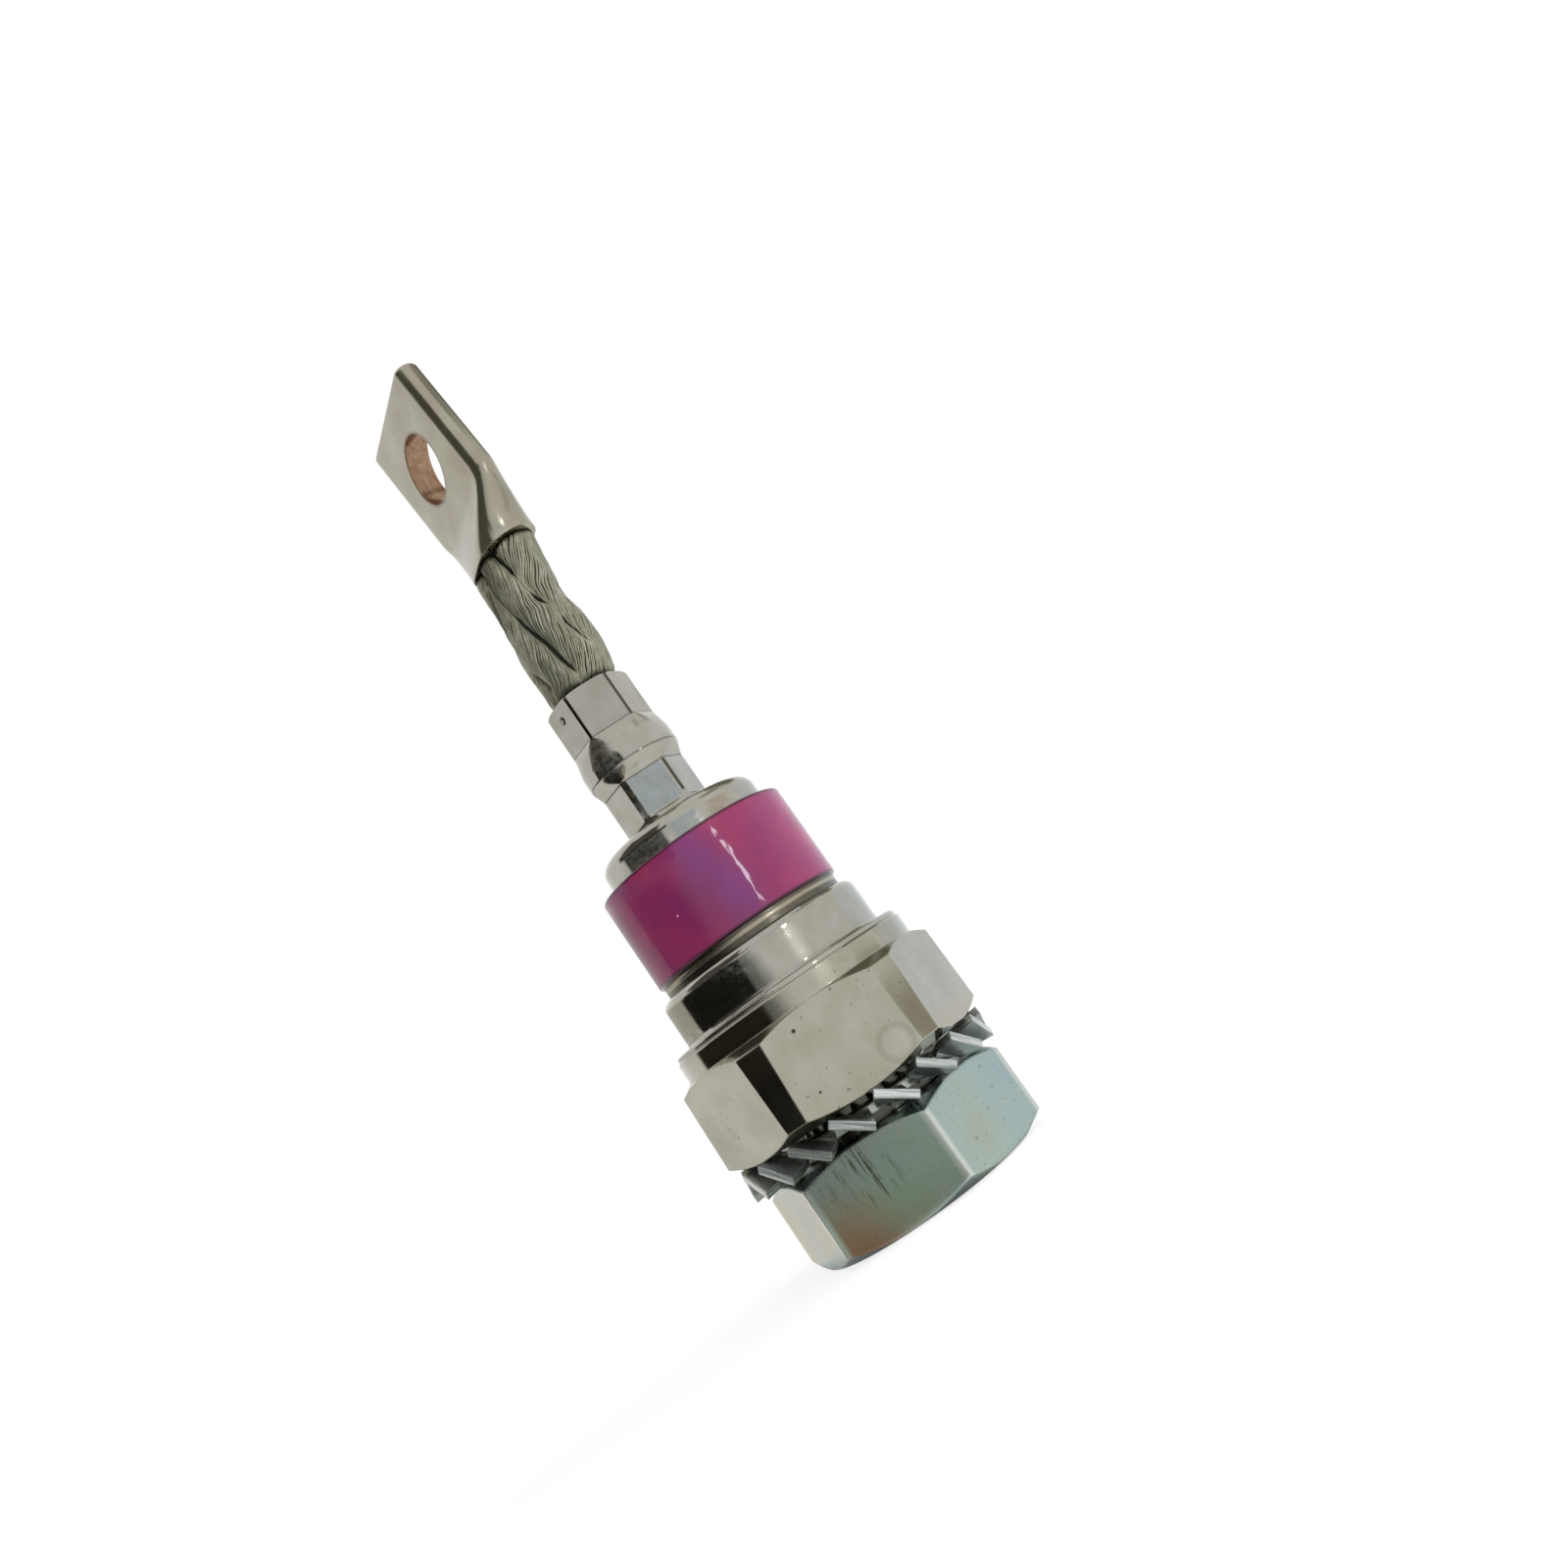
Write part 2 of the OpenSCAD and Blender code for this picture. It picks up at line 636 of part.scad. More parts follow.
// Lead of strands laid like a rope, pressed oval where it enters the lug's barrel
module flexible_lead() {
    sides = 84;
    steps = 44;
    below = top_crimp_h - lead_press / 4;
    color([0.5, 0.5, 0.45])
        loft(concat(
            [lead_ring(-below, sides)],
            [for (k = [0 : steps]) lead_ring(lead_free * k / steps, sides)],
            [for (k = [1 : barrel_steps]) lead_ring(lead_free + barrel_depth * k / barrel_steps, sides)]
        ));
}

// How far the tube is spread, and how far it is flattened, at a height over the barrel's mouth
function spread(h) = let (t = min(max(h / flatten_l, 0), 1)) mix(t, ease(t), spread_softness);
function flattened(h) = let (t = min(max(h / flatten_l / press_share, 0), 1)) (t + ease(t)) / 2;

// Half-width and half-thickness of the lug at a height over the barrel's mouth
function lug_half(h) = [mix(barrel_w, tongue_w, spread(h)) / 2, mix(barrel_t, tongue_t, flattened(h)) / 2];

// Sideways place of the lug's middle at a height over the barrel's mouth
function lug_middle(h) = [
    lead_shift_x - h * tan(lug_lean),
    lead_shift_y + tongue_set * flattened(h)
];

// Slot-shaped section of the lug at a height over the barrel's mouth, smaller all round by inset
function lug_section(h, inset = 0, n = 14) =
    let (half = lug_half(h), middle = lug_middle(h), r = half[1] - inset, a = half[0] - half[1])
        [for (side = [1, -1], k = [0 : n])
            let (q = mix(-90, 90, k / n))
                [middle[0] + side * (a + r * cos(q)), middle[1] + side * r * sin(q), z_barrel + h]];

// Lug: a copper tube, oval at the lead and flattened to a tongue with the terminal hole
module terminal_lug() {
    flat_steps = 14;
    tip_steps = 4;
    hole = lug_middle(lug_hole_from);
    color([0.66, 0.65, 0.6])
        difference() {
            loft(concat(
                [for (k = [0 : flat_steps]) lug_section(flatten_l * k / flat_steps)],
                [for (k = [0 : tip_steps])
                    let (q = 90 * k / tip_steps)
                        lug_section(lug_l - tip_r * (1 - sin(q)), tip_r * (1 - cos(q)))]
            ));
            loft([for (k = [0 : barrel_steps])
                let (h = barrel_depth * k / barrel_steps + (k == 0 ? -eps : k == barrel_steps ? eps : 0))
                    lug_section(h, barrel_wall)]);
            translate([hole[0], hole[1], z_barrel + lug_hole_from])
                rotate([90, 0, 0])
                    cylinder(d = lug_hole_d, h = tongue_t * 3, center = true);
        }
}

// Lower disc of the pressure contact, under the wafer
module lower_molybdenum_disc() {
    color([0.55, 0.55, 0.57])
        translate([0, 0, z_low_disc])
            cylinder(d = stack_d, h = low_disc_t);
}

// The silicon wafer that rectifies
module silicon_wafer() {
    color([0.3, 0.3, 0.34])
        translate([0, 0, z_wafer])
            cylinder(d = wafer_d, h = wafer_t);
}

// Rubber coating round the wafer's edge
module junction_coating() {
    color([0.75, 0.4, 0.3])
        washer_disc(z_wafer, coating_h, stack_d, wafer_d);
}

// Upper disc of the pressure contact, on the wafer
module upper_molybdenum_disc() {
    color([0.55, 0.55, 0.57])
        translate([0, 0, z_top_disc])
            cylinder(d = top_disc_d, h = top_disc_t);
}

// Copper post with a flange below and a socket for the inner lead above
module contact_post() {
    color([0.72, 0.45, 0.3])
        translate([0, 0, z_post])
            difference() {
                union() {
                    cylinder(d = top_disc_d, h = post_flange_t);
                    cylinder(d = post_d, h = post_flange_t + post_l);
                }
                translate([0, 0, post_flange_t + post_l - post_socket])
                    cylinder(r = low_bore_r, h = post_socket + eps);
            }
}

// Insulating tube between the post and the spring stack
module insulating_sleeve() {
    color([0.85, 0.83, 0.75])
        washer_disc(z_insulator, insulator_l, insulator_d, insulator_bore);
}

// Insulating washer on the post's flange
module insulating_washer() {
    color([0.85, 0.83, 0.75])
        washer_disc(z_insulator, insulator_t, stack_d, stack_bore);
}

// Steel washer that spreads the springs' force
module thrust_washer() {
    color([0.5, 0.5, 0.52])
        washer_disc(z_thrust, thrust_t, stack_d, stack_bore);
}

// One disc spring of the stack; every second one is turned over
module disc_spring(index) {
    inner = stack_bore / 2;
    outer = stack_d / 2;
    low = index % 2 == 1 ? spring_cone : 0;
    high = spring_cone - low;
    color([0.4, 0.4, 0.42])
        translate([0, 0, z_springs + (index - 1) * spring_pitch])
            rotate_extrude()
                polygon([[inner, low], [outer, high], [outer, high + spring_t], [inner, low + spring_t]]);
}

// Ring that snaps into the cup and holds the springs down
module retaining_ring() {
    color([0.45, 0.45, 0.46])
        washer_disc(z_retainer, retainer_t, retainer_d, retainer_bore);
}

// Steel cup on the base round the stack, with a groove for the retaining ring
module clamp_cup() {
    bore_r = cup_bore / 2;
    outer_r = cup_d / 2;
    groove_r = bore_r + cup_groove;
    color([0.55, 0.56, 0.58])
        rotate_extrude()
            polygon([
                [bore_r, z_collar], [cup_foot_d / 2, z_collar],
                [cup_foot_d / 2, z_collar + cup_foot_t], [outer_r, z_collar + cup_foot_t],
                [outer_r, z_cup_rim], [bore_r, z_cup_rim],
                [bore_r, z_retainer + retainer_t + play], [groove_r, z_retainer + retainer_t + play],
                [groove_r, z_retainer], [bore_r, z_retainer]
            ]);
}

// Stranded lead from the post's socket up into the sleeve's lower crimp
module inner_lead() {
    color([0.72, 0.45, 0.3])
        translate([0, 0, z_inner_lead])
            cylinder(d = inner_lead_d, h = z_low_bore_end - z_inner_lead - play);
}

terminal_lug();
flexible_lead();
terminal_sleeve();
top_cap();
ceramic_insulator();
lower_seal_ring();
housing_shell();
weld_ring();
stud_base();
lock_washer();
hex_nut();
lower_molybdenum_disc();
silicon_wafer();
junction_coating();
upper_molybdenum_disc();
contact_post();
insulating_sleeve();
insulating_washer();
thrust_washer();
disc_spring(1);  // disc_spring_1
disc_spring(2);  // disc_spring_2
disc_spring(3);  // disc_spring_3
retaining_ring();
clamp_cup();
inner_lead();
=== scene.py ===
# %% [markdown]
# # A stud mount diode, from its solids to its picture
#
# A stud mount diode is a rectifier in a sealed case: a hexagon base on a stud, a metal shell, a glazed
# ceramic ring, a cap with a crimped sleeve, a short stranded lead and a lug, with a lock washer and a nut
# on the stud. Its solids come from the CAD model. They are loaded as a fixed frame, in metres, and are
# never moved. This lesson gives each of them its finish, and it replaces three of them by finer pieces: the
# sleeve, the lug and the lead. Sizes and places in the cells are in millimetres, and MM turns them to
# metres.

# %% Load the frame
import math
import random

import bpy
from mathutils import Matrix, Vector


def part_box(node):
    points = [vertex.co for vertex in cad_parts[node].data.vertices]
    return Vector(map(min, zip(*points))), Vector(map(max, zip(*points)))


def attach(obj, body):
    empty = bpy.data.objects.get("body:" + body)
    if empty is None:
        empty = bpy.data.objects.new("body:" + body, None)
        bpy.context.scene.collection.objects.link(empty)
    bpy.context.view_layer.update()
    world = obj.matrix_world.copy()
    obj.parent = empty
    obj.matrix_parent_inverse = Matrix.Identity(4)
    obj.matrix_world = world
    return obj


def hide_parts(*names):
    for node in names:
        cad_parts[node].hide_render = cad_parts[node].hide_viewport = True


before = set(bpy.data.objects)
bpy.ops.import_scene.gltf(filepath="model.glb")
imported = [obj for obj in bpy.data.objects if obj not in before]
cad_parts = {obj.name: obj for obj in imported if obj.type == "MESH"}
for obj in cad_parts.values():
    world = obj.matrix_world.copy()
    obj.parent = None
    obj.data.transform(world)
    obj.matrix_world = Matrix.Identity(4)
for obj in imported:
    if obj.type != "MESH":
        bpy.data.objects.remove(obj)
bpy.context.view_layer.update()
MM = 0.001

# %% [markdown]
# ## Small helpers
#
# Colours are written as the hex values that a paint program shows. A shader needs linear light, so one
# function turns them. Another adds a shader node, sets its settings and fills its sockets with values or
# links, so every finish below reads like a recipe. A Mix node has several sockets of the same name, for
# numbers, vectors and colours, so its colour sockets are called by number, and these numbers get names.


# %% Numbers and colours
def mix(a, b, t):
    """From a to b, as t goes from nothing to one."""
    return a + (b - a) * t


def ease(t):
    """A soft step from nothing to one."""
    t = min(max(t, 0.0), 1.0)
    return t * t * (3 - 2 * t)


def linear(hex_colour):
    """A colour as #RRGGBB, turned to linear light with full alpha."""
    parts = [int(hex_colour[i:i + 2], 16) / 255 for i in (1, 3, 5)]
    return [c / 12.92 if c <= 0.04045 else ((c + 0.055) / 1.055) ** 2.4 for c in parts] + [1.0]


def grey(value):
    """A grey for the stops of a ramp that is read as a number."""
    return [value, value, value, 1.0]


def scale_for(size):
    """The scale of a noise whose grains have this size in millimetres."""
    return 1 / (size * MM)


print("middle grey in linear light:", round(linear("#808080")[0], 3))

# %% Nodes and finishes
SHARE, UNDER, OVER, MIXED = 0, 6, 7, 2
LAID_OVER = {"data_type": "RGBA", "blend_type": "MIX"}
MULTIPLIED = {"data_type": "RGBA", "blend_type": "MULTIPLY"}
SOFTLY = {"interpolation_type": "SMOOTHSTEP"}
NOISE_SPAN = {"From Min": 0.3, "From Max": 0.7}


def fill(tree, node, inputs):
    """Fills sockets of a node, each with a value or with a link from another socket."""
    for name, value in inputs.items():
        if isinstance(value, bpy.types.NodeSocket):
            tree.links.new(value, node.inputs[name])
        else:
            node.inputs[name].default_value = value


def add(tree, kind, inputs=None, stops=None, **settings):
    """One shader node with its inputs and settings; stops are those of a colour ramp."""
    node = tree.nodes.new("ShaderNode" + kind)
    for name, value in settings.items():
        setattr(node, name, value)
    fill(tree, node, inputs or {})
    if stops:
        ramp = node.color_ramp
        while len(ramp.elements) < len(stops):
            ramp.elements.new(0.5)
        for element, (position, colour) in zip(ramp.elements, stops):
            element.position = position
            element.color = colour
    return node


def new_finish(name):
    """An empty material with its shader, and the place on the part in metres."""
    material = bpy.data.materials.new(name)
    material.use_nodes = True
    tree = material.node_tree
    tree.nodes.clear()
    shader = add(tree, "BsdfPrincipled")
    add(tree, "OutputMaterial", {"Surface": shader.outputs["BSDF"]})
    place = add(tree, "TexCoord").outputs["Object"]
    return material, tree, shader, place


print("node helpers ready")

# %% Masks by place
IN_PLAN, IN_HEIGHT = (1, 1, 0), (0, 0, 1)


def distance(tree, place, centre=(0, 0, 0), shape=(1, 1, 1)):
    """The distance from a point, in metres; the shape weighs the axes, and nothing leaves an axis out."""
    off = add(tree, "VectorMath", {0: place, 1: [v * MM for v in centre]}, operation="SUBTRACT")
    off = add(tree, "VectorMath", {0: off.outputs[0], 1: shape}, operation="MULTIPLY")
    return add(tree, "VectorMath", {0: off.outputs[0]}, operation="LENGTH").outputs["Value"]


def spot(tree, place, centre, near, far, shape=(1, 1, 1)):
    """A soft mask round a point: one within the near distance, nothing past the far one."""
    away = distance(tree, place, centre, shape)
    return add(tree, "MapRange", {"Value": away, "From Min": near * MM, "From Max": far * MM,
                                  "To Min": 1.0, "To Max": 0.0}, **SOFTLY).outputs[0]


print("masks ready")

# %% [markdown]
# ## Camera
#
# The photograph looks at the diode from close by and a little from below its middle, with the camera rolled
# so that the part lies across the frame. The distance, the angles and the focal length were fitted to the
# outlines of the round pieces, so the perspective of the picture is the photograph's own.

# %% Camera
PHOTO_WIDTH, FOCAL_PIXELS, SENSOR = 1600, 1436, 36
CAMERA_AT, CAMERA_TURN = (148.52, -80.64, 23.21), (100.731, 34.845, 63.040)
camera = bpy.data.objects.new("camera", bpy.data.cameras.new("camera"))
bpy.context.scene.collection.objects.link(camera)
camera.data.sensor_width = SENSOR
camera.data.lens = SENSOR * FOCAL_PIXELS / PHOTO_WIDTH
camera.data.clip_start = 5 * MM
camera.location = Vector(CAMERA_AT) * MM
camera.rotation_euler = [math.radians(a) for a in CAMERA_TURN]
bpy.context.scene.camera = camera
print("lens", round(camera.data.lens, 2), "mm")

# %% [markdown]
# ## White room
#
# Bright metal has hardly a colour of its own: it shows what stands round it. So the studio is a white room,
# and the world is that room. The camera and all reflections see it as pure white, while it lights matt
# surfaces less, which keeps their colours deep. The Light Path node tells the two apart.

# %% World
ROOM_LIGHT = 0.62
scene = bpy.context.scene
scene.view_settings.view_transform = "Standard"
world = bpy.data.worlds.new("white room")
scene.world = world
world.use_nodes = True
room = world.node_tree
room.nodes.clear()
path = add(room, "LightPath").outputs
seen = add(room, "Math", {0: path["Is Camera Ray"], 1: path["Is Glossy Ray"]}, operation="MAXIMUM")
seen = add(room, "Math", {0: seen.outputs[0], 1: path["Is Transmission Ray"]}, operation="MAXIMUM")
white = add(room, "Background", {"Color": linear("#FFFFFF"), "Strength": 1.0})
soft = add(room, "Background", {"Color": linear("#F4F4F2"), "Strength": ROOM_LIGHT})
both = add(room, "MixShader", {0: seen.outputs[0], 1: soft.outputs[0], 2: white.outputs[0]})
add(room, "OutputWorld", {"Surface": both.outputs[0]})
print("world ready")

# %% [markdown]
# ## Floor
#
# The floor is a sheet of white paper. Part of what the camera sees of it is a plain white glow, like a
# studio floor that is lit to white, and the rest is matt paper that takes the part's shadow. The share of
# paper grows towards the part. In reflections the glow stops close to the nut, because the part shades the
# paper there.


# %% Floor
FLOOR_SIZE, FLOOR_GAP = 6000, 0.2
SHADED_FROM, SHADED_TO = 15, 24
PAPER_FROM, PAPER_TO = 60, 260


def clear_selection():
    """Operators act on all that is selected, so every new piece starts with an empty selection."""
    if bpy.context.object and bpy.context.object.mode != "OBJECT":
        bpy.ops.object.mode_set(mode="OBJECT")
    bpy.ops.object.select_all(action="DESELECT")


clear_selection()
bpy.ops.mesh.primitive_plane_add(size=FLOOR_SIZE * MM, location=(0, 0, -FLOOR_GAP * MM))
floor = bpy.context.object
floor.name = "floor"
paper, tree, shader, place = new_finish("white paper floor")
fill(tree, shader, {"Base Color": linear("#F2F2F0"), "Roughness": 0.9})
glow = add(tree, "Emission", {"Color": linear("#FFFFFF"), "Strength": 1.0})
away = distance(tree, place)
shaded = add(tree, "MapRange", {"Value": away, "From Min": SHADED_FROM * MM, "From Max": SHADED_TO * MM,
                                "To Min": 0.2, "To Max": 1.0}, **SOFTLY)
lit = add(tree, "MapRange", {"Value": away, "From Min": PAPER_FROM * MM, "From Max": PAPER_TO * MM,
                             "To Min": 0.82, "To Max": 1.0}, **SOFTLY)
ray = add(tree, "LightPath").outputs
share = add(tree, "Math", {0: ray["Is Glossy Ray"], 1: shaded.outputs[0]}, operation="MULTIPLY")
share = add(tree, "Math", {0: share.outputs[0], 1: ray["Is Camera Ray"]}, operation="MAXIMUM")
share = add(tree, "Math", {0: share.outputs[0], 1: ray["Is Transmission Ray"]}, operation="MAXIMUM")
share = add(tree, "Math", {0: share.outputs[0], 1: lit.outputs[0]}, operation="MULTIPLY")
mixed = add(tree, "MixShader", {0: share.outputs[0], 1: shader.outputs[0], 2: glow.outputs[0]})
fill(tree, tree.nodes["Material Output"], {"Surface": mixed.outputs[0]})
floor.data.materials.append(paper)
print("floor ready")

# %% [markdown]
# ## Cards
#
# A photographer stands cards round bright metal, and so does this lesson. Each card is a sheet curved round
# the part, from one angle off the camera's direction to another, and only reflections see it. A grid is
# bent for it point by point, because its angles and heights are then plain numbers. Its edges fade out, so
# that reflections get soft borders: soft tells how many degrees of the left and the right side fade,
# soft_ends how many millimetres of the foot and the top.


# %% Card makers
TOWARD = math.radians(-28.5)  # the camera's direction, seen from the part
CARD_AWAY, CARD_COLUMNS = 420, 24


def light_card(piece, colours, strength, soft_left, soft_right, soft_ends):
    """Gives a card its glow, from one colour to the next along it, and fades it out at its edges."""
    stuff, tree = new_finish(piece.name)[:2]
    across = add(tree, "SeparateXYZ", {0: add(tree, "TexCoord").outputs["UV"]})
    fade = 1.0
    for side, outer, inner in (("X", 0.0, soft_left), ("X", 1.0, 1 - soft_right),
                               ("Y", 0.0, soft_ends), ("Y", 1.0, 1 - soft_ends)):
        edge = add(tree, "MapRange", {"Value": across.outputs[side], "From Min": outer, "From Max": inner},
                   **SOFTLY)
        fade = add(tree, "Math", {0: edge.outputs[0], 1: fade}, operation="MULTIPLY").outputs[0]
    tint = add(tree, "ValToRGB", {"Fac": across.outputs["Y"]},
               stops=[(at, linear(colour)) for at, colour in colours])
    glow = add(tree, "Emission", {"Color": tint.outputs[0], "Strength": strength})
    clear = add(tree, "BsdfTransparent")
    both = add(tree, "MixShader", {0: fade, 1: clear.outputs[0], 2: glow.outputs[0]})
    fill(tree, tree.nodes["Material Output"], {"Surface": both.outputs[0]})
    piece.data.materials.append(stuff)
    piece.visible_camera = False
    piece.visible_diffuse = False
    piece.visible_shadow = False


def card(name, left, right, low, high, colour, away=CARD_AWAY, strength=1.0, soft=(3, 3), soft_ends=10):
    """A curved card from one angle off the camera to another, and from one height to another."""
    clear_selection()
    bpy.ops.mesh.primitive_grid_add(x_subdivisions=CARD_COLUMNS, y_subdivisions=2, size=2)
    piece = bpy.context.object
    piece.name = name
    for vertex in piece.data.vertices:
        angle = TOWARD + math.radians(mix(left, right, (vertex.co.x + 1) / 2))
        height = mix(low, high, (vertex.co.y + 1) / 2)
        vertex.co = Vector((away * math.cos(angle), away * math.sin(angle), height)) * MM
    wide, tall = right - left, high - low
    light_card(piece, [(0.0, colour), (1.0, colour)], strength,
               soft[0] / wide, soft[1] / wide, soft_ends / tall)
    print(name, "over", round(wide), "degrees")


print("cards stand", CARD_AWAY, "mm from the axis, unless told otherwise")

# %% [markdown]
# ## Dark cards on the left
#
# These give plated metal the black bands that make it look like metal. The bands differ from piece to piece
# in place and depth, so every piece has its own card, at the height that its walls reflect.

# %% Dark cards
card("dark card, low", -110, -22, -50, 76, "#23211D", soft=(5, 5), soft_ends=8)
card("dark card for the collar", -108, -10, 35.5, 42.5, "#3A372E", away=415, soft=(8, 26), soft_ends=1)
card("dark card for the glaze", -106, -20, 66, 115, "#2C2A2A", soft=(6, 26))
card("dark card for the cap", -90, -14, 108, 136, "#484846", soft=(6, 8), soft_ends=8)
card("dark card for the sleeve", -97, -7, 130, 205, "#363633", soft=(4, 4))
card("dark card for the lug", -104, -19, 195, 700, "#64615A", soft=(6, 6))
card("fading card, low", -48, 4, -50, 76, "#8A8C8C", away=430, soft=(26, 26), soft_ends=8)

# %% [markdown]
# ## Grey, warm and cool cards, and two bright ones
#
# A white room alone would leave the bright faces without tone. Grey cards take single faces down, a warm
# one tints the cap and two cool ones tint the sleeve's lower flat and the right edges. A faint gleam lifts
# the shell and the collar, and a narrow strip lamp gives the glaze its thin streak.

# %% Toning cards
card("grey card for the glaze", -176, -98, 66, 115, "#D8D6D2", away=440)
card("grey card, left", -172, -100, 42, 76, "#CAC8C0", away=440)
card("grey card, right", 62, 94, -50, 38, "#C2BEB1", soft_ends=4)
card("grey card for the lug", 52, 112, 330, 660, "#AEACA4", soft=(14, 14), soft_ends=100)
card("grey card behind the lug", 92, 172, 280, 800, "#8E8C7E", away=440, soft=(34, 8), soft_ends=80)
card("warm card for the cap", 38, 90, 108, 136, "#EADBD0", soft=(20, 16))
card("cool card, right", 98, 165, -50, 170, "#F2F7FF", away=440, strength=1.06)
card("cool card", -10, 34, 112, 168, "#DCEAFA", away=430, soft=(6, 6))
card("soft gleam, low", 20, 44, 34, 67, "#FFFFFF", away=410, strength=1.4, soft=(10, 10), soft_ends=4)
card("strip lamp", 29.2, 33.2, 67, 109, "#FFFFFF", away=400, strength=20.0, soft=(0.8, 0.8))

# %% [markdown]
# ## Cards on the floor
#
# The nut stands low, so its walls mirror the floor before it, and the floor gets cards too. The one before
# the nut's front goes from a warm grey at its near end through green and back to grey, which brings out the
# drift of colour in the nut's film.


# %% Floor cards
FLOOR_FADE_SIDES, FLOOR_FADE_ENDS = 0.12, 0.03


def floor_card(name, off_camera, near, far, half_width, colours):
    """A card on the floor in a direction off the camera's, from a near to a far distance."""
    clear_selection()
    bpy.ops.mesh.primitive_grid_add(x_subdivisions=2, y_subdivisions=2, size=2)
    piece = bpy.context.object
    piece.name = name
    azimuth = TOWARD + math.radians(off_camera)
    ahead = Vector((math.cos(azimuth), math.sin(azimuth), 0))
    aside = Vector((-math.sin(azimuth), math.cos(azimuth), 0))
    for vertex in piece.data.vertices:
        out = mix(near, far, (vertex.co.y + 1) / 2)
        vertex.co = (ahead * out + aside * half_width * vertex.co.x) * MM
    light_card(piece, colours, 1.0, FLOOR_FADE_SIDES, FLOOR_FADE_SIDES, FLOOR_FADE_ENDS)
    print(name, "to", far, "mm")


floor_card("card before the nut's front", -27, 14, 154, 26,
           [(0.02, "#A49E8C"), (0.14, "#AEBBAC"), (0.35, "#B9CABE"), (0.6, "#B8B4A5")])
floor_card("card before the nut's left", -147, 14, 154, 38, [(0.0, "#FFF1E6"), (1.0, "#FFF1E6")])
floor_card("dark card on the floor", -62, 70, 330, 95, [(0.0, "#33312C"), (1.0, "#33312C")])

# %% [markdown]
# ## Lamps
#
# Two large soft lamps, from above and from the right, model the matt surfaces and cast the shadow on the
# floor. Metal doesn't mirror them, since the cards already decide what it shows.


# %% Lamps
def lamp(name, place, target, size, watts):
    """A square soft lamp that lights matt surfaces and isn't mirrored in the metal."""
    data = bpy.data.lights.new(name, "AREA")
    data.size = size * MM
    data.energy = watts
    thing = bpy.data.objects.new(name, data)
    bpy.context.scene.collection.objects.link(thing)
    thing.location = Vector(place) * MM
    thing.rotation_euler = (Vector(target) - Vector(place)).to_track_quat("-Z", "Y").to_euler()
    thing.visible_glossy = False
    print(name, watts, "W")


lamp("soft lamp above", (250, -50, 550), (0, 0, 50), 500, 2.6)
lamp("soft lamp right", (220, 420, 220), (0, 0, 50), 350, 2.6)

# %% [markdown]
# ## Lug: tin plate on copper tube, with a bare copper hole
#
# The lug is a copper tube that is pressed flat, dipped in tin and then punched, so the hole's wall is bare
# copper. Tin gives a satin, slightly warm grey with faint lengthwise draw marks. The real marks are too
# fine to show, so they are drawn half a millimetre wide. One shader does both metals: the distance from the
# hole's axis says where the copper shows. The lug's own mesh comes later, with the lead that it holds.


# %% Tinned lug
SHIFT = (2.55, 0.3)  # how far the lug's barrel stands aside of the axis
LEAN = math.tan(math.radians(7.5))
HOLE_UP, HOLE_SET, HOLE_R = 14.6, 0.4, 4.6  # over the mouth, off the barrel's middle, radius
Z_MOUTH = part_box("terminal_lug")[0][2] / MM
HOLE = (SHIFT[0] - HOLE_UP * LEAN, SHIFT[1] + HOLE_SET, Z_MOUTH + HOLE_UP)
ROUND_HOLE = (1, 0, 1)


def painted_corner_shade(tree, colour, reach, darkest):
    """Darkens a colour as painted shade where the surface lies in a corner or a gap, within a reach."""
    near = add(tree, "AmbientOcclusion", {"Distance": reach * MM}, samples=6)
    tone = add(tree, "ValToRGB", {"Fac": near.outputs["AO"]},
               stops=[(0.25, grey(darkest)), (0.75, grey(1.0))])
    return add(tree, "Mix", {SHARE: 1.0, UNDER: colour, OVER: tone.outputs[0]}, **MULTIPLIED).outputs[MIXED]


tinned, tree, shader, place = new_finish("tin plated copper lug")
radius = distance(tree, place, HOLE, ROUND_HOLE)
drawn = add(tree, "Mapping", {"Vector": place, "Scale": (1, 1, 0.06)})
marks = add(tree, "TexNoise", {"Vector": drawn.outputs[0], "Scale": scale_for(0.5), "Detail": 4.0,
                               "Roughness": 0.6})
clouds = add(tree, "TexNoise", {"Vector": place, "Scale": scale_for(5.0), "Detail": 4.0})
plate = add(tree, "ValToRGB", {"Fac": clouds.outputs["Fac"]},
            stops=[(0.3, linear("#989282")), (0.7, linear("#A8A494"))])
# The tin darkens within a millimetre of the hole: painted shade round the hole's edge.
rim = add(tree, "MapRange", {"Value": radius, "From Min": HOLE_R * MM, "From Max": (HOLE_R + 1.0) * MM})
rim = add(tree, "ValToRGB", {"Fac": rim.outputs[0]}, stops=[(0.1, grey(0.55)), (0.4, grey(1.0))])
plate = add(tree, "Mix", {SHARE: 1.0, UNDER: plate.outputs[0], OVER: rim.outputs[0]}, **MULTIPLIED)
bare = add(tree, "ValToRGB", {"Fac": marks.outputs["Fac"]},
           stops=[(0.3, linear("#7F6350")), (0.5, linear("#94765E")), (0.7, linear("#A68C76"))])
inside = add(tree, "MapRange", {"Value": radius, "From Min": (HOLE_R + 0.02) * MM,
                                "From Max": (HOLE_R + 0.12) * MM, "To Min": 1.0, "To Max": 0.0})
colour = add(tree, "Mix", {SHARE: inside.outputs[0], UNDER: plate.outputs[MIXED], OVER: bare.outputs[0]},
             **LAID_OVER)
rough = add(tree, "MapRange", {"Value": marks.outputs["Fac"], **NOISE_SPAN, "To Min": 0.15, "To Max": 0.25})
dents = add(tree, "Bump", {"Height": marks.outputs["Fac"], "Strength": 0.05, "Distance": 0.1 * MM})
edge = add(tree, "Bevel", {"Radius": 0.3 * MM, "Normal": dents.outputs[0]}, samples=4)
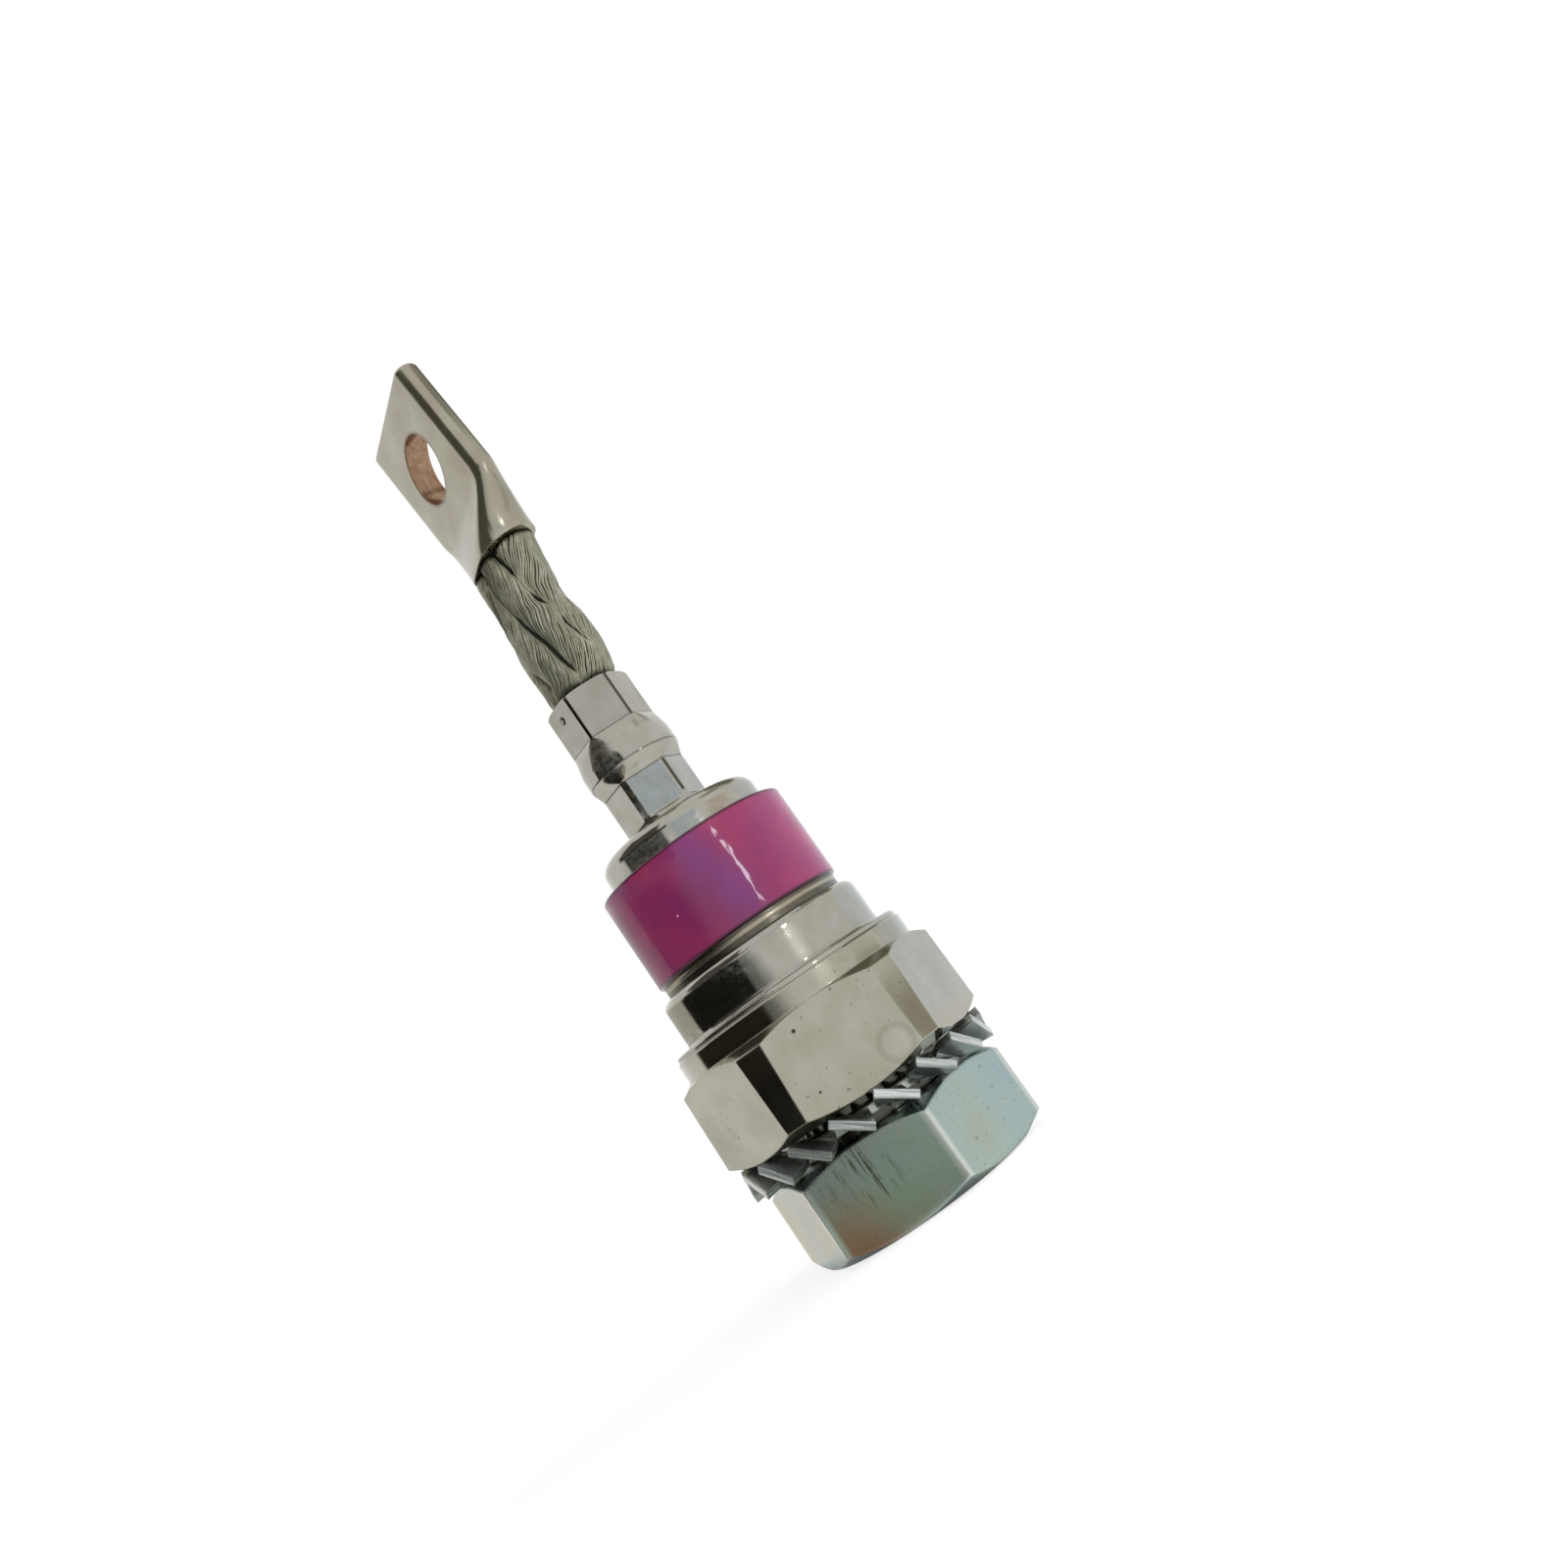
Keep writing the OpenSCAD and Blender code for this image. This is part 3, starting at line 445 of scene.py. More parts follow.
fill(tree, shader, {"Metallic": 1.0, "Base Color": painted_corner_shade(tree, colour.outputs[MIXED], 1.5, 0.35),
                    "Roughness": rough.outputs[0], "Normal": edge.outputs[0]})
print("tin and copper meet", HOLE_R, "mm from the hole's axis")

# %% [markdown]
# ## Sleeve, cap and shell: bright nickel
#
# These pieces are drawn or crimped from sheet and plated with bright nickel, which is nearly a mirror. A
# real drawn wall is never quite even, so a weak, wide bump lets the edges of the reflections waver a
# little. The sleeve was squeezed by the jaws of a press, which left a rough scuff on its shoulder; the
# scuff's colour is also darkened, as painted dark reflection. The upper crimp is painted slightly darker,
# and fine dark lines run along the steps. The dark lines along the crimp corners are painted dark
# reflections. The marks could be modelled, but they have no depth to speak of, so they are masks at their
# places, measured from the sleeve's foot.


# %% Marks of the press
Z_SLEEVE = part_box("top_cap")[1][2] / MM
CRIMP_TURN, LOW_R, TOP_R = 37.5, 5.575, 5.7
LOW_CRIMP, TOP_CRIMP = (4.2, 2.1), (16.4, 3.1)  # middle over the foot, and half the length
# Painted dark reflections along the crimp corners: radius, angle, and the crimp's middle and half length.
CORNER_REFLECTIONS = [(TOP_R, CRIMP_TURN - 90, TOP_CRIMP), (TOP_R, CRIMP_TURN - 30, TOP_CRIMP),
             (LOW_R, CRIMP_TURN - 30, LOW_CRIMP)]
STEP_LINES = [6.55, 8.55, 13.2]
SCUFF = (3.6, -4.95, Z_SLEEVE + 10.4)
LINE_DARK = linear("#4A483E")


def press_marks_and_reflections(tree, place, grain, colour, rough):
    """Adds the marks of the press to the sleeve's colour and roughness, and painted dark reflections along
    its crimp corners and in the scuff.
    """
    # The scuff is rougher, and its colour is darkened: painted dark reflection in the rough patch.
    scuff = spot(tree, place, SCUFF, 0.9, 2.2, (1, 1, 0.55))
    scuff_dark = add(tree, "ValToRGB", {"Fac": grain}, stops=[(0.35, grey(0.5)), (0.6, grey(1.0))])
    colour = add(tree, "Mix", {SHARE: scuff, UNDER: colour, OVER: scuff_dark.outputs[0]}, **MULTIPLIED)
    rough = add(tree, "Math", {0: scuff, 1: 0.2, 2: rough}, operation="MULTIPLY_ADD")
    middle, half = TOP_CRIMP
    duller = spot(tree, place, (0, 0, Z_SLEEVE + middle), half, half + 0.2, IN_HEIGHT)
    colour = add(tree, "Mix", {SHARE: duller, UNDER: colour.outputs[MIXED], OVER: grey(0.9)}, **MULTIPLIED)
    lines = []
    # Dark lines along the crimp corners: painted reflections.
    for radius, turn, (middle, half) in CORNER_REFLECTIONS:
        a = math.radians(turn)
        corner = (radius * math.cos(a), radius * math.sin(a), Z_SLEEVE + middle)
        lines.append((spot(tree, place, corner, 0.1, 0.34, IN_PLAN),
                      spot(tree, place, corner, half, half + 0.4, IN_HEIGHT)))
    for height in STEP_LINES:
        lines.append((spot(tree, place, (0, 0, Z_SLEEVE + height), 0.03, 0.17, IN_HEIGHT), 0.6))
    for across, along in lines:
        line = add(tree, "Math", {0: across, 1: along}, operation="MULTIPLY")
        colour = add(tree, "Mix", {SHARE: line.outputs[0], UNDER: colour.outputs[MIXED], OVER: LINE_DARK},
                     **LAID_OVER)
    return colour.outputs[MIXED], rough.outputs[0]


print("sleeve's foot at", round(Z_SLEEVE, 2), "mm")


# %% Bright nickel
def wear(material, *nodes):
    """Gives the finish to the CAD solids of these names."""
    for node in nodes:
        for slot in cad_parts[node].material_slots:
            slot.material = material
    print(material.name, "on", ", ".join(nodes))


def bright_nickel(name, wave, wave_strength, roughest, rounding, darkest, marks=None):
    """Bright plate over a wall with waves of a size, with the marks and painted reflections that a function
    adds.
    """
    material, tree, shader, place = new_finish(name)
    ripple = add(tree, "TexNoise", {"Vector": place, "Scale": scale_for(wave), "Detail": 2.0})
    grain = add(tree, "TexNoise", {"Vector": place, "Scale": scale_for(0.6), "Detail": 3.0})
    tint = add(tree, "ValToRGB", {"Fac": ripple.outputs["Fac"]},
               stops=[(0.3, linear("#A19F93")), (0.7, linear("#ADABA1"))])
    rough = add(tree, "MapRange", {"Value": grain.outputs["Fac"], **NOISE_SPAN, "To Min": 0.04,
                                   "To Max": roughest})
    colour, roughness = tint.outputs[0], rough.outputs[0]
    if marks:
        colour, roughness = marks(tree, place, grain.outputs["Fac"], colour, roughness)
    bump = add(tree, "Bump", {"Height": ripple.outputs["Fac"], "Strength": wave_strength,
                              "Distance": 0.25 * MM})
    edge = add(tree, "Bevel", {"Radius": rounding * MM, "Normal": bump.outputs[0]}, samples=8)
    fill(tree, shader, {"Metallic": 1.0, "Base Color": painted_corner_shade(tree, colour, 1.5, darkest),
                        "Roughness": roughness, "Normal": edge.outputs[0]})
    return material


drawn_nickel = bright_nickel("bright nickel plate", 3.0, 0.14, 0.12, 0.3, 0.65)
crimped_nickel = bright_nickel("bright nickel plate, crimped", 2.4, 0.06, 0.16, 0.12, 0.3, marks=press_marks_and_reflections)
wear(drawn_nickel, "top_cap", "housing_shell")

# %% [markdown]
# ## Insulator: purple glaze on alumina
#
# The ring is alumina with a fired glaze: a deep magenta body under a clear glass skin. The skin is the
# shader's coat. Fired glaze lies in gentle waves, which break a streak of light, and most so where it ran.
# In two places near the streak the body is painted bluer, as a painted sheen. It has one tiny pale chip,
# and it is darker along both edges.

# %% Glaze: body
RING_LOW, RING_HIGH = [corner[2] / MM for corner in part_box("ceramic_insulator")]
RING_MIDDLE, RING_HALF = (RING_LOW + RING_HIGH) / 2, (RING_HIGH - RING_LOW) / 2
HIGH_SHEEN, LOW_SHEEN = (11.0, -6.2, 46.6), (11.7, -4.7, 41.5)
CHIP = (7.3, -10.3, 42.2)
glaze, tree, shader, place = new_finish("purple glaze on alumina")
swirl = add(tree, "TexNoise", {"Vector": place, "Scale": scale_for(9.0), "Detail": 3.0, "Roughness": 0.55})
body = add(tree, "ValToRGB", {"Fac": swirl.outputs["Fac"]},
           stops=[(0.3, linear("#6A2150")), (0.5, linear("#74214E")), (0.7, linear("#84284F"))])
# Two bluer patches near the streak: painted sheen in the glaze.
painted_sheen = add(tree, "Math", {0: spot(tree, place, HIGH_SHEEN, 0.5, 4.0, (1, 1, 0.6)),
                           1: spot(tree, place, LOW_SHEEN, 0.5, 3.4, (1, 1, 0.5))}, operation="MAXIMUM")
sheen_share = add(tree, "Math", {0: painted_sheen.outputs[0], 1: 0.3}, operation="MULTIPLY")
body = add(tree, "Mix", {SHARE: sheen_share.outputs[0], UNDER: body.outputs[0], OVER: linear("#643C86")},
           **LAID_OVER)
body = add(tree, "Mix", {SHARE: spot(tree, place, CHIP, 0.06, 0.16), UNDER: body.outputs[MIXED],
                         OVER: linear("#D9A5BE")}, **LAID_OVER)
from_middle = distance(tree, place, (0, 0, RING_MIDDLE), IN_HEIGHT)
rim = add(tree, "MapRange", {"Value": from_middle, "From Min": (RING_HALF - 0.55) * MM,
                             "From Max": (RING_HALF - 0.2) * MM, "To Min": 1.0, "To Max": 0.2}, **SOFTLY)
body = add(tree, "Mix", {SHARE: 1.0, UNDER: body.outputs[MIXED], OVER: rim.outputs[0]}, **MULTIPLIED)
print("ring of", round(2 * RING_HALF, 2), "mm")

# %% Glaze: skin
RUN = (12.3, -2.6, RING_MIDDLE)
stretched = add(tree, "Mapping", {"Vector": place, "Scale": (1, 1, 0.5)})
flow = add(tree, "TexNoise", {"Vector": stretched.outputs[0], "Scale": scale_for(2.2), "Detail": 2.0})
runny = add(tree, "Math", {0: spot(tree, place, RUN, 3.0, 7.0, IN_PLAN), 1: 0.22, 2: 0.04},
            operation="MULTIPLY_ADD")
waves = add(tree, "Bump", {"Height": flow.outputs["Fac"], "Strength": runny.outputs[0],
                           "Distance": 0.3 * MM})
fill(tree, shader, {"Roughness": 0.3, "Specular IOR Level": 0.15,
                    "Coat Weight": 0.55, "Coat Roughness": 0.04,
                    "Base Color": painted_corner_shade(tree, body.outputs[MIXED], 0.8, 0.25),
                    "Coat Normal": waves.outputs[0], "Normal": waves.outputs[0]})
wear(glaze, "ceramic_insulator")

# %% [markdown]
# ## Base: satin nickel on copper
#
# The hexagon, its collar and the stud are one turned and milled piece of copper under satin nickel. The
# plate is a warm grey with soft clouds. Handling left two pits and fine dark specks on it, and the faint
# ring of a dried drop. The stud below the hexagon is painted dark, as painted shade in the gap under the
# hexagon, and shows between the washer's teeth.


# %% Satin nickel
PIT, SMALL_PIT, DROP = (13.12, -9.53, 24.31), (12.58, -10.72, 17.45), (16.57, -1.85, 17.05)
Z_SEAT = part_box("lock_washer")[1][2] / MM


def specks(tree, place, rare, sure):
    """Fine dark specks, where the peaks of a small noise rise over a level."""
    dust = add(tree, "TexNoise", {"Vector": place, "Scale": scale_for(0.45), "Detail": 0.0})
    return add(tree, "MapRange", {"Value": dust.outputs["Fac"], "From Min": rare, "From Max": sure,
                                  "To Max": 0.5}).outputs[0]


satin, tree, shader, place = new_finish("satin nickel on copper")
clouds = add(tree, "TexNoise", {"Vector": place, "Scale": scale_for(6.0), "Detail": 4.0, "Roughness": 0.6})
fine = add(tree, "TexNoise", {"Vector": place, "Scale": scale_for(0.5), "Detail": 4.0, "Roughness": 0.7})
tint = add(tree, "ValToRGB", {"Fac": clouds.outputs["Fac"]},
           stops=[(0.3, linear("#9E9B8C")), (0.7, linear("#B0ADA0"))])
pits = add(tree, "Math", {0: spot(tree, place, PIT, 0.12, 0.35),
                          1: spot(tree, place, SMALL_PIT, 0.08, 0.22)}, operation="MAXIMUM")
pits = add(tree, "Math", {0: pits.outputs[0], 1: specks(tree, place, 0.79, 0.84)}, operation="MAXIMUM")
colour = add(tree, "Mix", {SHARE: pits.outputs[0], UNDER: tint.outputs[0], OVER: linear("#3A382F")},
             **LAID_OVER)
ring = add(tree, "Math", {0: spot(tree, place, DROP, 2.0, 2.5), 1: spot(tree, place, DROP, 1.2, 1.9)},
           operation="SUBTRACT")
ring = add(tree, "Math", {0: ring.outputs[0], 1: 0.3}, operation="MULTIPLY")
colour = add(tree, "Mix", {SHARE: ring.outputs[0], UNDER: colour.outputs[MIXED], OVER: linear("#7A7868")},
             **LAID_OVER)
# Below the hexagon the stud is painted dark: painted shade in the gap under it.
height = add(tree, "SeparateXYZ", {0: place}).outputs["Z"]
stud = add(tree, "MapRange", {"Value": height, "From Min": (Z_SEAT - 0.3) * MM, "From Max": Z_SEAT * MM,
                              "To Min": 1.0, "To Max": 0.0})
colour = add(tree, "Mix", {SHARE: stud.outputs[0], UNDER: colour.outputs[MIXED], OVER: linear("#565750")},
             **LAID_OVER)
rough = add(tree, "MapRange", {"Value": clouds.outputs["Fac"], **NOISE_SPAN,
                               "To Min": 0.05, "To Max": 0.12})
dents = add(tree, "Bump", {"Height": fine.outputs["Fac"], "Strength": 0.012, "Distance": 0.1 * MM})
edge = add(tree, "Bevel", {"Radius": 0.25 * MM, "Normal": dents.outputs[0]}, samples=4)
fill(tree, shader, {"Metallic": 1.0, "Base Color": painted_corner_shade(tree, colour.outputs[MIXED], 2.0, 0.6),
                    "Roughness": rough.outputs[0], "Normal": edge.outputs[0]})
wear(satin, "stud_base")

# %% [markdown]
# ## Washer: zinc on spring steel
#
# The washer is stamped from rolled strip, and its teeth are twisted afterwards. Its zinc is dull and pale,
# with streaks along the teeth, half a millimetre wide here because the real ones are too fine to show. The
# noise for them is laid on the washer's rim as if it were unrolled, so it can follow the slope of the
# teeth. The ring inside the teeth is plainer and duller.

# %% Zinc on the washer
TOOTH_R, TOOTH_SLOPE = 15, math.radians(40)
RING_END, TEETH_START = 12.85, 13.3
zinc, tree, shader, place = new_finish("zinc plated spring steel")
at = add(tree, "SeparateXYZ", {0: place})
angle = add(tree, "Math", {0: at.outputs["Y"], 1: at.outputs["X"]}, operation="ARCTAN2")
arc = add(tree, "Math", {0: angle.outputs[0], 1: TOOTH_R * MM}, operation="MULTIPLY")
unrolled = add(tree, "CombineXYZ", {"X": arc.outputs[0], "Y": at.outputs["Z"]})
along = add(tree, "Mapping", {"Vector": unrolled.outputs[0], "Rotation": (0, 0, TOOTH_SLOPE)})
along = add(tree, "Mapping", {"Vector": along.outputs[0], "Scale": (0.06, 1, 1)})
streaks = add(tree, "TexNoise", {"Vector": along.outputs[0], "Scale": scale_for(0.5), "Detail": 3.0,
                                 "Roughness": 0.6})
tint = add(tree, "ValToRGB", {"Fac": streaks.outputs["Fac"]},
           stops=[(0.34, linear("#838986")), (0.5, linear("#A9AFAC")), (0.64, linear("#CBCFCD"))])
rough = add(tree, "MapRange", {"Value": streaks.outputs["Fac"], **NOISE_SPAN,
                               "To Min": 0.36, "To Max": 0.2})
# The ring inside the teeth is painted paler than the teeth: painted light that lifts the shaded gaps
# between them.
ring = add(tree, "MapRange", {"Value": distance(tree, place, shape=IN_PLAN), "From Min": RING_END * MM,
                              "From Max": TEETH_START * MM, "To Min": 1.0, "To Max": 0.0})
colour = add(tree, "Mix", {SHARE: ring.outputs[0], UNDER: tint.outputs[0], OVER: linear("#D2D6CE")},
             **LAID_OVER)
dull = add(tree, "Math", {0: ring.outputs[0], 1: 0.25, 2: rough.outputs[0]}, operation="MULTIPLY_ADD")
edge = add(tree, "Bevel", {"Radius": 0.25 * MM}, samples=4)
fill(tree, shader, {"Metallic": 0.85, "Base Color": painted_corner_shade(tree, colour.outputs[MIXED], 1.5, 0.95),
                    "Roughness": dull.outputs[0], "Normal": edge.outputs[0]})
wear(zinc, "lock_washer")

# %% [markdown]
# ## Nut: passivated zinc on steel
#
# The nut is cut from a hexagon bar, so its faces keep upright marks, drawn coarser here than they are so
# that they show. Passivated zinc has a thin film with a cool cast that drifts to green. The front face
# turns brown towards its foot and has scraped marks above, and the corners are rubbed pale.

# %% Passivated zinc on the nut
BROWN_FOOT, SCRAPE = (6.0, -14.4, 0.4), (9.6, -10.5, 7.6)
FRONT, FRONT_FROM, FRONT_TO = math.radians(-42), 13.5, 14.0
CORNER_FROM, CORNER_TO = 15.85, 16.1
blue_zinc, tree, shader, place = new_finish("blue passivated zinc on steel")
drift = add(tree, "TexNoise", {"Vector": place, "Scale": scale_for(8.0), "Detail": 3.0})
tint = add(tree, "ValToRGB", {"Fac": drift.outputs["Fac"]},
           stops=[(0.3, linear("#9AACAE")), (0.5, linear("#A1B0AB")), (0.7, linear("#A1AD9F"))])
# The front face turns brown towards its foot.
brown_foot = add(tree, "Math", {0: spot(tree, place, BROWN_FOOT, 0.8, 8.6, (1, 1, 0.85)), 1: 0.8},
            operation="MULTIPLY")
ahead = add(tree, "VectorMath", {0: place, 1: (math.cos(FRONT), math.sin(FRONT), 0)},
            operation="DOT_PRODUCT")
front = add(tree, "MapRange", {"Value": ahead.outputs["Value"], "From Min": FRONT_FROM * MM,
                               "From Max": FRONT_TO * MM})
brown_foot = add(tree, "Math", {0: brown_foot.outputs[0], 1: front.outputs[0]}, operation="MULTIPLY")
tint = add(tree, "Mix", {SHARE: brown_foot.outputs[0], UNDER: tint.outputs[0], OVER: linear("#AB7A5A")},
           **LAID_OVER)
tint = add(tree, "Mix", {SHARE: specks(tree, place, 0.76, 0.82), UNDER: tint.outputs[MIXED],
                         OVER: linear("#5E6A66")}, **LAID_OVER)
upright = add(tree, "Mapping", {"Vector": place, "Scale": (1, 1, 0.08)})
marks = add(tree, "TexNoise", {"Vector": upright.outputs[0], "Scale": scale_for(0.55), "Detail": 4.0,
                               "Roughness": 0.65})
dark = add(tree, "ValToRGB", {"Fac": marks.outputs["Fac"]},
           stops=[(0.35, linear("#7A5C48")), (0.48, grey(1.0))])
colour = add(tree, "Mix", {SHARE: spot(tree, place, SCRAPE, 1.5, 5.5), UNDER: tint.outputs[MIXED],
                           OVER: dark.outputs[0]}, **MULTIPLIED)
corner = add(tree, "MapRange", {"Value": distance(tree, place, shape=IN_PLAN), "From Min": CORNER_FROM * MM,
                                "From Max": CORNER_TO * MM})
colour = add(tree, "Mix", {SHARE: corner.outputs[0], UNDER: colour.outputs[MIXED], OVER: linear("#C6CBC6")},
             **LAID_OVER)
rough = add(tree, "MapRange", {"Value": marks.outputs["Fac"], **NOISE_SPAN, "To Min": 0.18, "To Max": 0.3})
dents = add(tree, "Bump", {"Height": marks.outputs["Fac"], "Strength": 0.04, "Distance": 0.1 * MM})
edge = add(tree, "Bevel", {"Radius": 0.45 * MM, "Normal": dents.outputs[0]}, samples=4)
fill(tree, shader, {"Metallic": 1.0, "Base Color": painted_corner_shade(tree, colour.outputs[MIXED], 2.0, 0.6),
                    "Roughness": rough.outputs[0], "Normal": edge.outputs[0]})
wear(blue_zinc, "hex_nut")

# %% [markdown]
# ## Seal ring: rolled alloy
#
# The recessed ring under the ceramic is rolled from an alloy with a pale gold cast. It lies in the shade of
# the ring above it, so its colour is painted dark, as painted shade, with one light line: a bead that the
# roll left, painted lighter as a painted highlight. The bead is so low that a bump gives it.

# %% Seal ring
BEAD = (0, 0, 36.45)
gold, tree, shader, place = new_finish("pale gold alloy, rolled")
drift = add(tree, "TexNoise", {"Vector": place, "Scale": scale_for(3.0), "Detail": 3.0})
# The dark tint is painted shade from the ring above.
tint = add(tree, "ValToRGB", {"Fac": drift.outputs["Fac"]},
           stops=[(0.3, linear("#5E5A50")), (0.7, linear("#6C685C"))])
bead = spot(tree, place, BEAD, 0.08, 0.36, IN_HEIGHT)
rolled = add(tree, "Bump", {"Height": bead, "Strength": 0.25, "Distance": 0.1 * MM})
# The bead is painted lighter: painted highlight on the rolled bead.
colour = add(tree, "Mix", {SHARE: bead, UNDER: tint.outputs[0], OVER: linear("#A59D8B")}, **LAID_OVER)
fill(tree, shader, {"Metallic": 1.0, "Roughness": 0.24, "Base Color": colour.outputs[MIXED],
                    "Normal": rolled.outputs[0]})
wear(gold, "lower_seal_ring")

# %% [markdown]
# ## Pieces inside
#
# The pieces of the pressure contact are sealed in the housing and never seen. Each still gets a finish of
# its own kind, for whoever takes the part apart: two near colours that drift into each other, and a
# roughness that drifts along. One function is enough for them.


# %% Inner finishes
def simple_finish(name, first, second, metal, roughness, size):
    """A finish with two colours that drift into each other, at a size in millimetres."""
    material, tree, shader, place = new_finish(name)
    drift = add(tree, "TexNoise", {"Vector": place, "Scale": scale_for(size), "Detail": 3.0})
    tint = add(tree, "ValToRGB", {"Fac": drift.outputs["Fac"]},
               stops=[(0.3, linear(first)), (0.7, linear(second))])
    rough = add(tree, "MapRange", {"Value": drift.outputs["Fac"], **NOISE_SPAN,
                                   "To Min": roughness * 0.85, "To Max": roughness * 1.2})
    fill(tree, shader, {"Metallic": metal, "Base Color": tint.outputs[0], "Roughness": rough.outputs[0]})
    return material


wear(simple_finish("machined steel", "#8C8C8A", "#A6A6A3", 1.0, 0.35, 2.0),
     "weld_ring", "thrust_washer", "clamp_cup")
wear(simple_finish("hardened spring steel", "#55565A", "#6E6F73", 1.0, 0.35, 2.0),
     "disc_spring_1", "disc_spring_2", "disc_spring_3", "retaining_ring")
wear(simple_finish("lapped molybdenum", "#82838A", "#989AA0", 1.0, 0.3, 1.5),
     "lower_molybdenum_disc", "upper_molybdenum_disc")
wear(simple_finish("polished silicon", "#45464F", "#565862", 0.6, 0.12, 4.0), "silicon_wafer")
wear(simple_finish("red silicone rubber", "#9A3B2A", "#AD4A36", 0.0, 0.55, 1.5), "junction_coating")
wear(simple_finish("bare copper", "#B56C48", "#D08A64", 1.0, 0.3, 2.0), "contact_post", "inner_lead")
wear(simple_finish("pale insulating plastic", "#D8D2BE", "#E6E1D0", 0.0, 0.5, 2.0),
     "insulating_sleeve", "insulating_washer")

# %% [markdown]
# ## Terminal sleeve: its sections
#
# A crimp isn't cut: the jaws of a press squeeze a round sleeve into a hexagon, and its corners stay round,
# tighter at the upper crimp than at the lower one. Between the crimps the hexagon swells back into the full
# round of the shoulder. So a section is a hexagon with filleted corners, and its half width over flats and
# over corners changes with the height. Where they are equal, the section is a circle.


# %% Sections of the sleeve
SLEEVE_H, FLAT_R, SHOULDER_R = 19.4, 5.0, 6.2  # length, half width over flats, radius of the shoulder
FOOT_R, FOOT_LAND, END_R = 0.9, 0.1, 0.5  # fillet at the foot and the land under it, rounding at the end
# A stretch is its start over the sleeve's foot and its length.
FOOT_TOP, CRIMP_CHANGE = (0.95, 0.4), (7.0, 6.0)
SWELL_OUT, CORNERS_IN, FLATS_IN = (6.6, 1.9), (10.2, 3.1), (8.4, 4.8)
SWELL_SOFT, FLATS_BEND, FLATS_TRACE = 0.3, 2.6, 0.02  # share of easing, power, what stays of the flats
SIXTH = math.pi / 6


def way(h, stretch):
    """How far a height is along a stretch, from nothing at its start to one at its end."""
    return min(max((h - stretch[0]) / stretch[1], 0.0), 1.0)


def sleeve_widths(h):
    """Half the width over flats and over corners at a height over the sleeve's foot."""
    rise = way(h, SWELL_OUT)
    up = mix(rise, ease(rise), SWELL_SOFT)
    crimp = mix(LOW_R, TOP_R, ease(way(h, CRIMP_CHANGE)))
    corner = mix(crimp, SHOULDER_R, up * (1 - ease(way(h, CORNERS_IN))))
    flat = mix(FLAT_R, SHOULDER_R - FLATS_TRACE, up * (1 - way(h, FLATS_IN) ** FLATS_BEND))
    flat = mix(flat, LOW_R, 1 - ease(way(h, FOOT_TOP)))
    fillet = FOOT_R * (1 - math.sqrt(1 - (1 - way(h, (FOOT_LAND, FOOT_R))) ** 2))
    past = min(max(h - SLEEVE_H + END_R, 0.0), END_R)
    rounding = END_R - math.sqrt(END_R ** 2 - past ** 2)
    return min(flat, corner - rounding) + fillet, corner - rounding + fillet


def hexagon(q, flat, corner):
    """Distance from the axis to a hexagon with filleted corners, at an angle off the middle of a flat."""
    fillet = (flat / math.cos(SIXTH) - corner) / (1 / math.cos(SIXTH) - 1)
    if math.tan(abs(q)) * flat <= (flat - fillet) * math.tan(SIXTH):
        return flat / math.cos(q)
    centre, off = (flat - fillet) / math.cos(SIXTH), SIXTH - abs(q)
    return centre * math.cos(off) + math.sqrt(fillet ** 2 - (centre * math.sin(off)) ** 2)


print("half widths at the shoulder:", [round(w, 2) for w in sleeve_widths(sum(SWELL_OUT))])

# %% [markdown]
# ## Terminal sleeve: its wall
#
# A grid is wrapped round the axis like a sheet. Along the grid runs the outline, from the lower bore over
# the outside to the upper bore. Round it runs the section, with its columns closer together at the corners.
# Rows lie close where the form changes and far apart where it is straight. Both ends meet on the axis, so
# merging the doubles closes the mesh.

# %% Sleeve
SPIGOT_R, SPIGOT_L = 4.5, 2.0
LOW_BORE_R, LOW_BORE_H, TOP_BORE_R, TOP_BORE_H = 3.05, 6.75, 4.3, 13.0
PER_FLAT, MERGE = 24, 0.001
FOOT_ROWS, FOOT_STEP, SHOULDER_ROWS, SHOULDER_STEP, END_ROWS = 15, 0.09, 57, 0.12, 8
LOW_STRAIGHT, TOP_STRAIGHT = [1.5, 4.0, 6.5], [13.6, 16.0, 18.8]


def merge_doubles(outwards=False):
    """Merges points of the active piece that lie on each other, and turns its faces outwards if asked."""
    bpy.ops.object.mode_set(mode="EDIT")
    bpy.ops.mesh.select_all(action="SELECT")
    bpy.ops.mesh.remove_doubles(threshold=MERGE * MM)
    if outwards:
        bpy.ops.mesh.normals_make_consistent(inside=False)
    bpy.ops.object.mode_set(mode="OBJECT")


heights = [0.0] + [FOOT_LAND + FOOT_STEP * k for k in range(FOOT_ROWS)] + LOW_STRAIGHT
heights += [SWELL_OUT[0] + SHOULDER_STEP * k for k in range(SHOULDER_ROWS)] + TOP_STRAIGHT
heights += [SLEEVE_H - END_R + END_R * math.sin(math.pi / 2 * k / END_ROWS) for k in range(END_ROWS + 1)]
outline = [(0.0, LOW_BORE_H), (LOW_BORE_R, LOW_BORE_H), (LOW_BORE_R, -SPIGOT_L), (SPIGOT_R, -SPIGOT_L),
           (SPIGOT_R, 0.0)]
outline += [(None, h) for h in heights]
outline += [(TOP_BORE_R, SLEEVE_H), (TOP_BORE_R, TOP_BORE_H), (0.0, TOP_BORE_H)]
clear_selection()
bpy.ops.mesh.primitive_grid_add(x_subdivisions=6 * PER_FLAT, y_subdivisions=len(outline) - 1, size=2)
sleeve = bpy.context.object
sleeve.name = "sleeve_body"
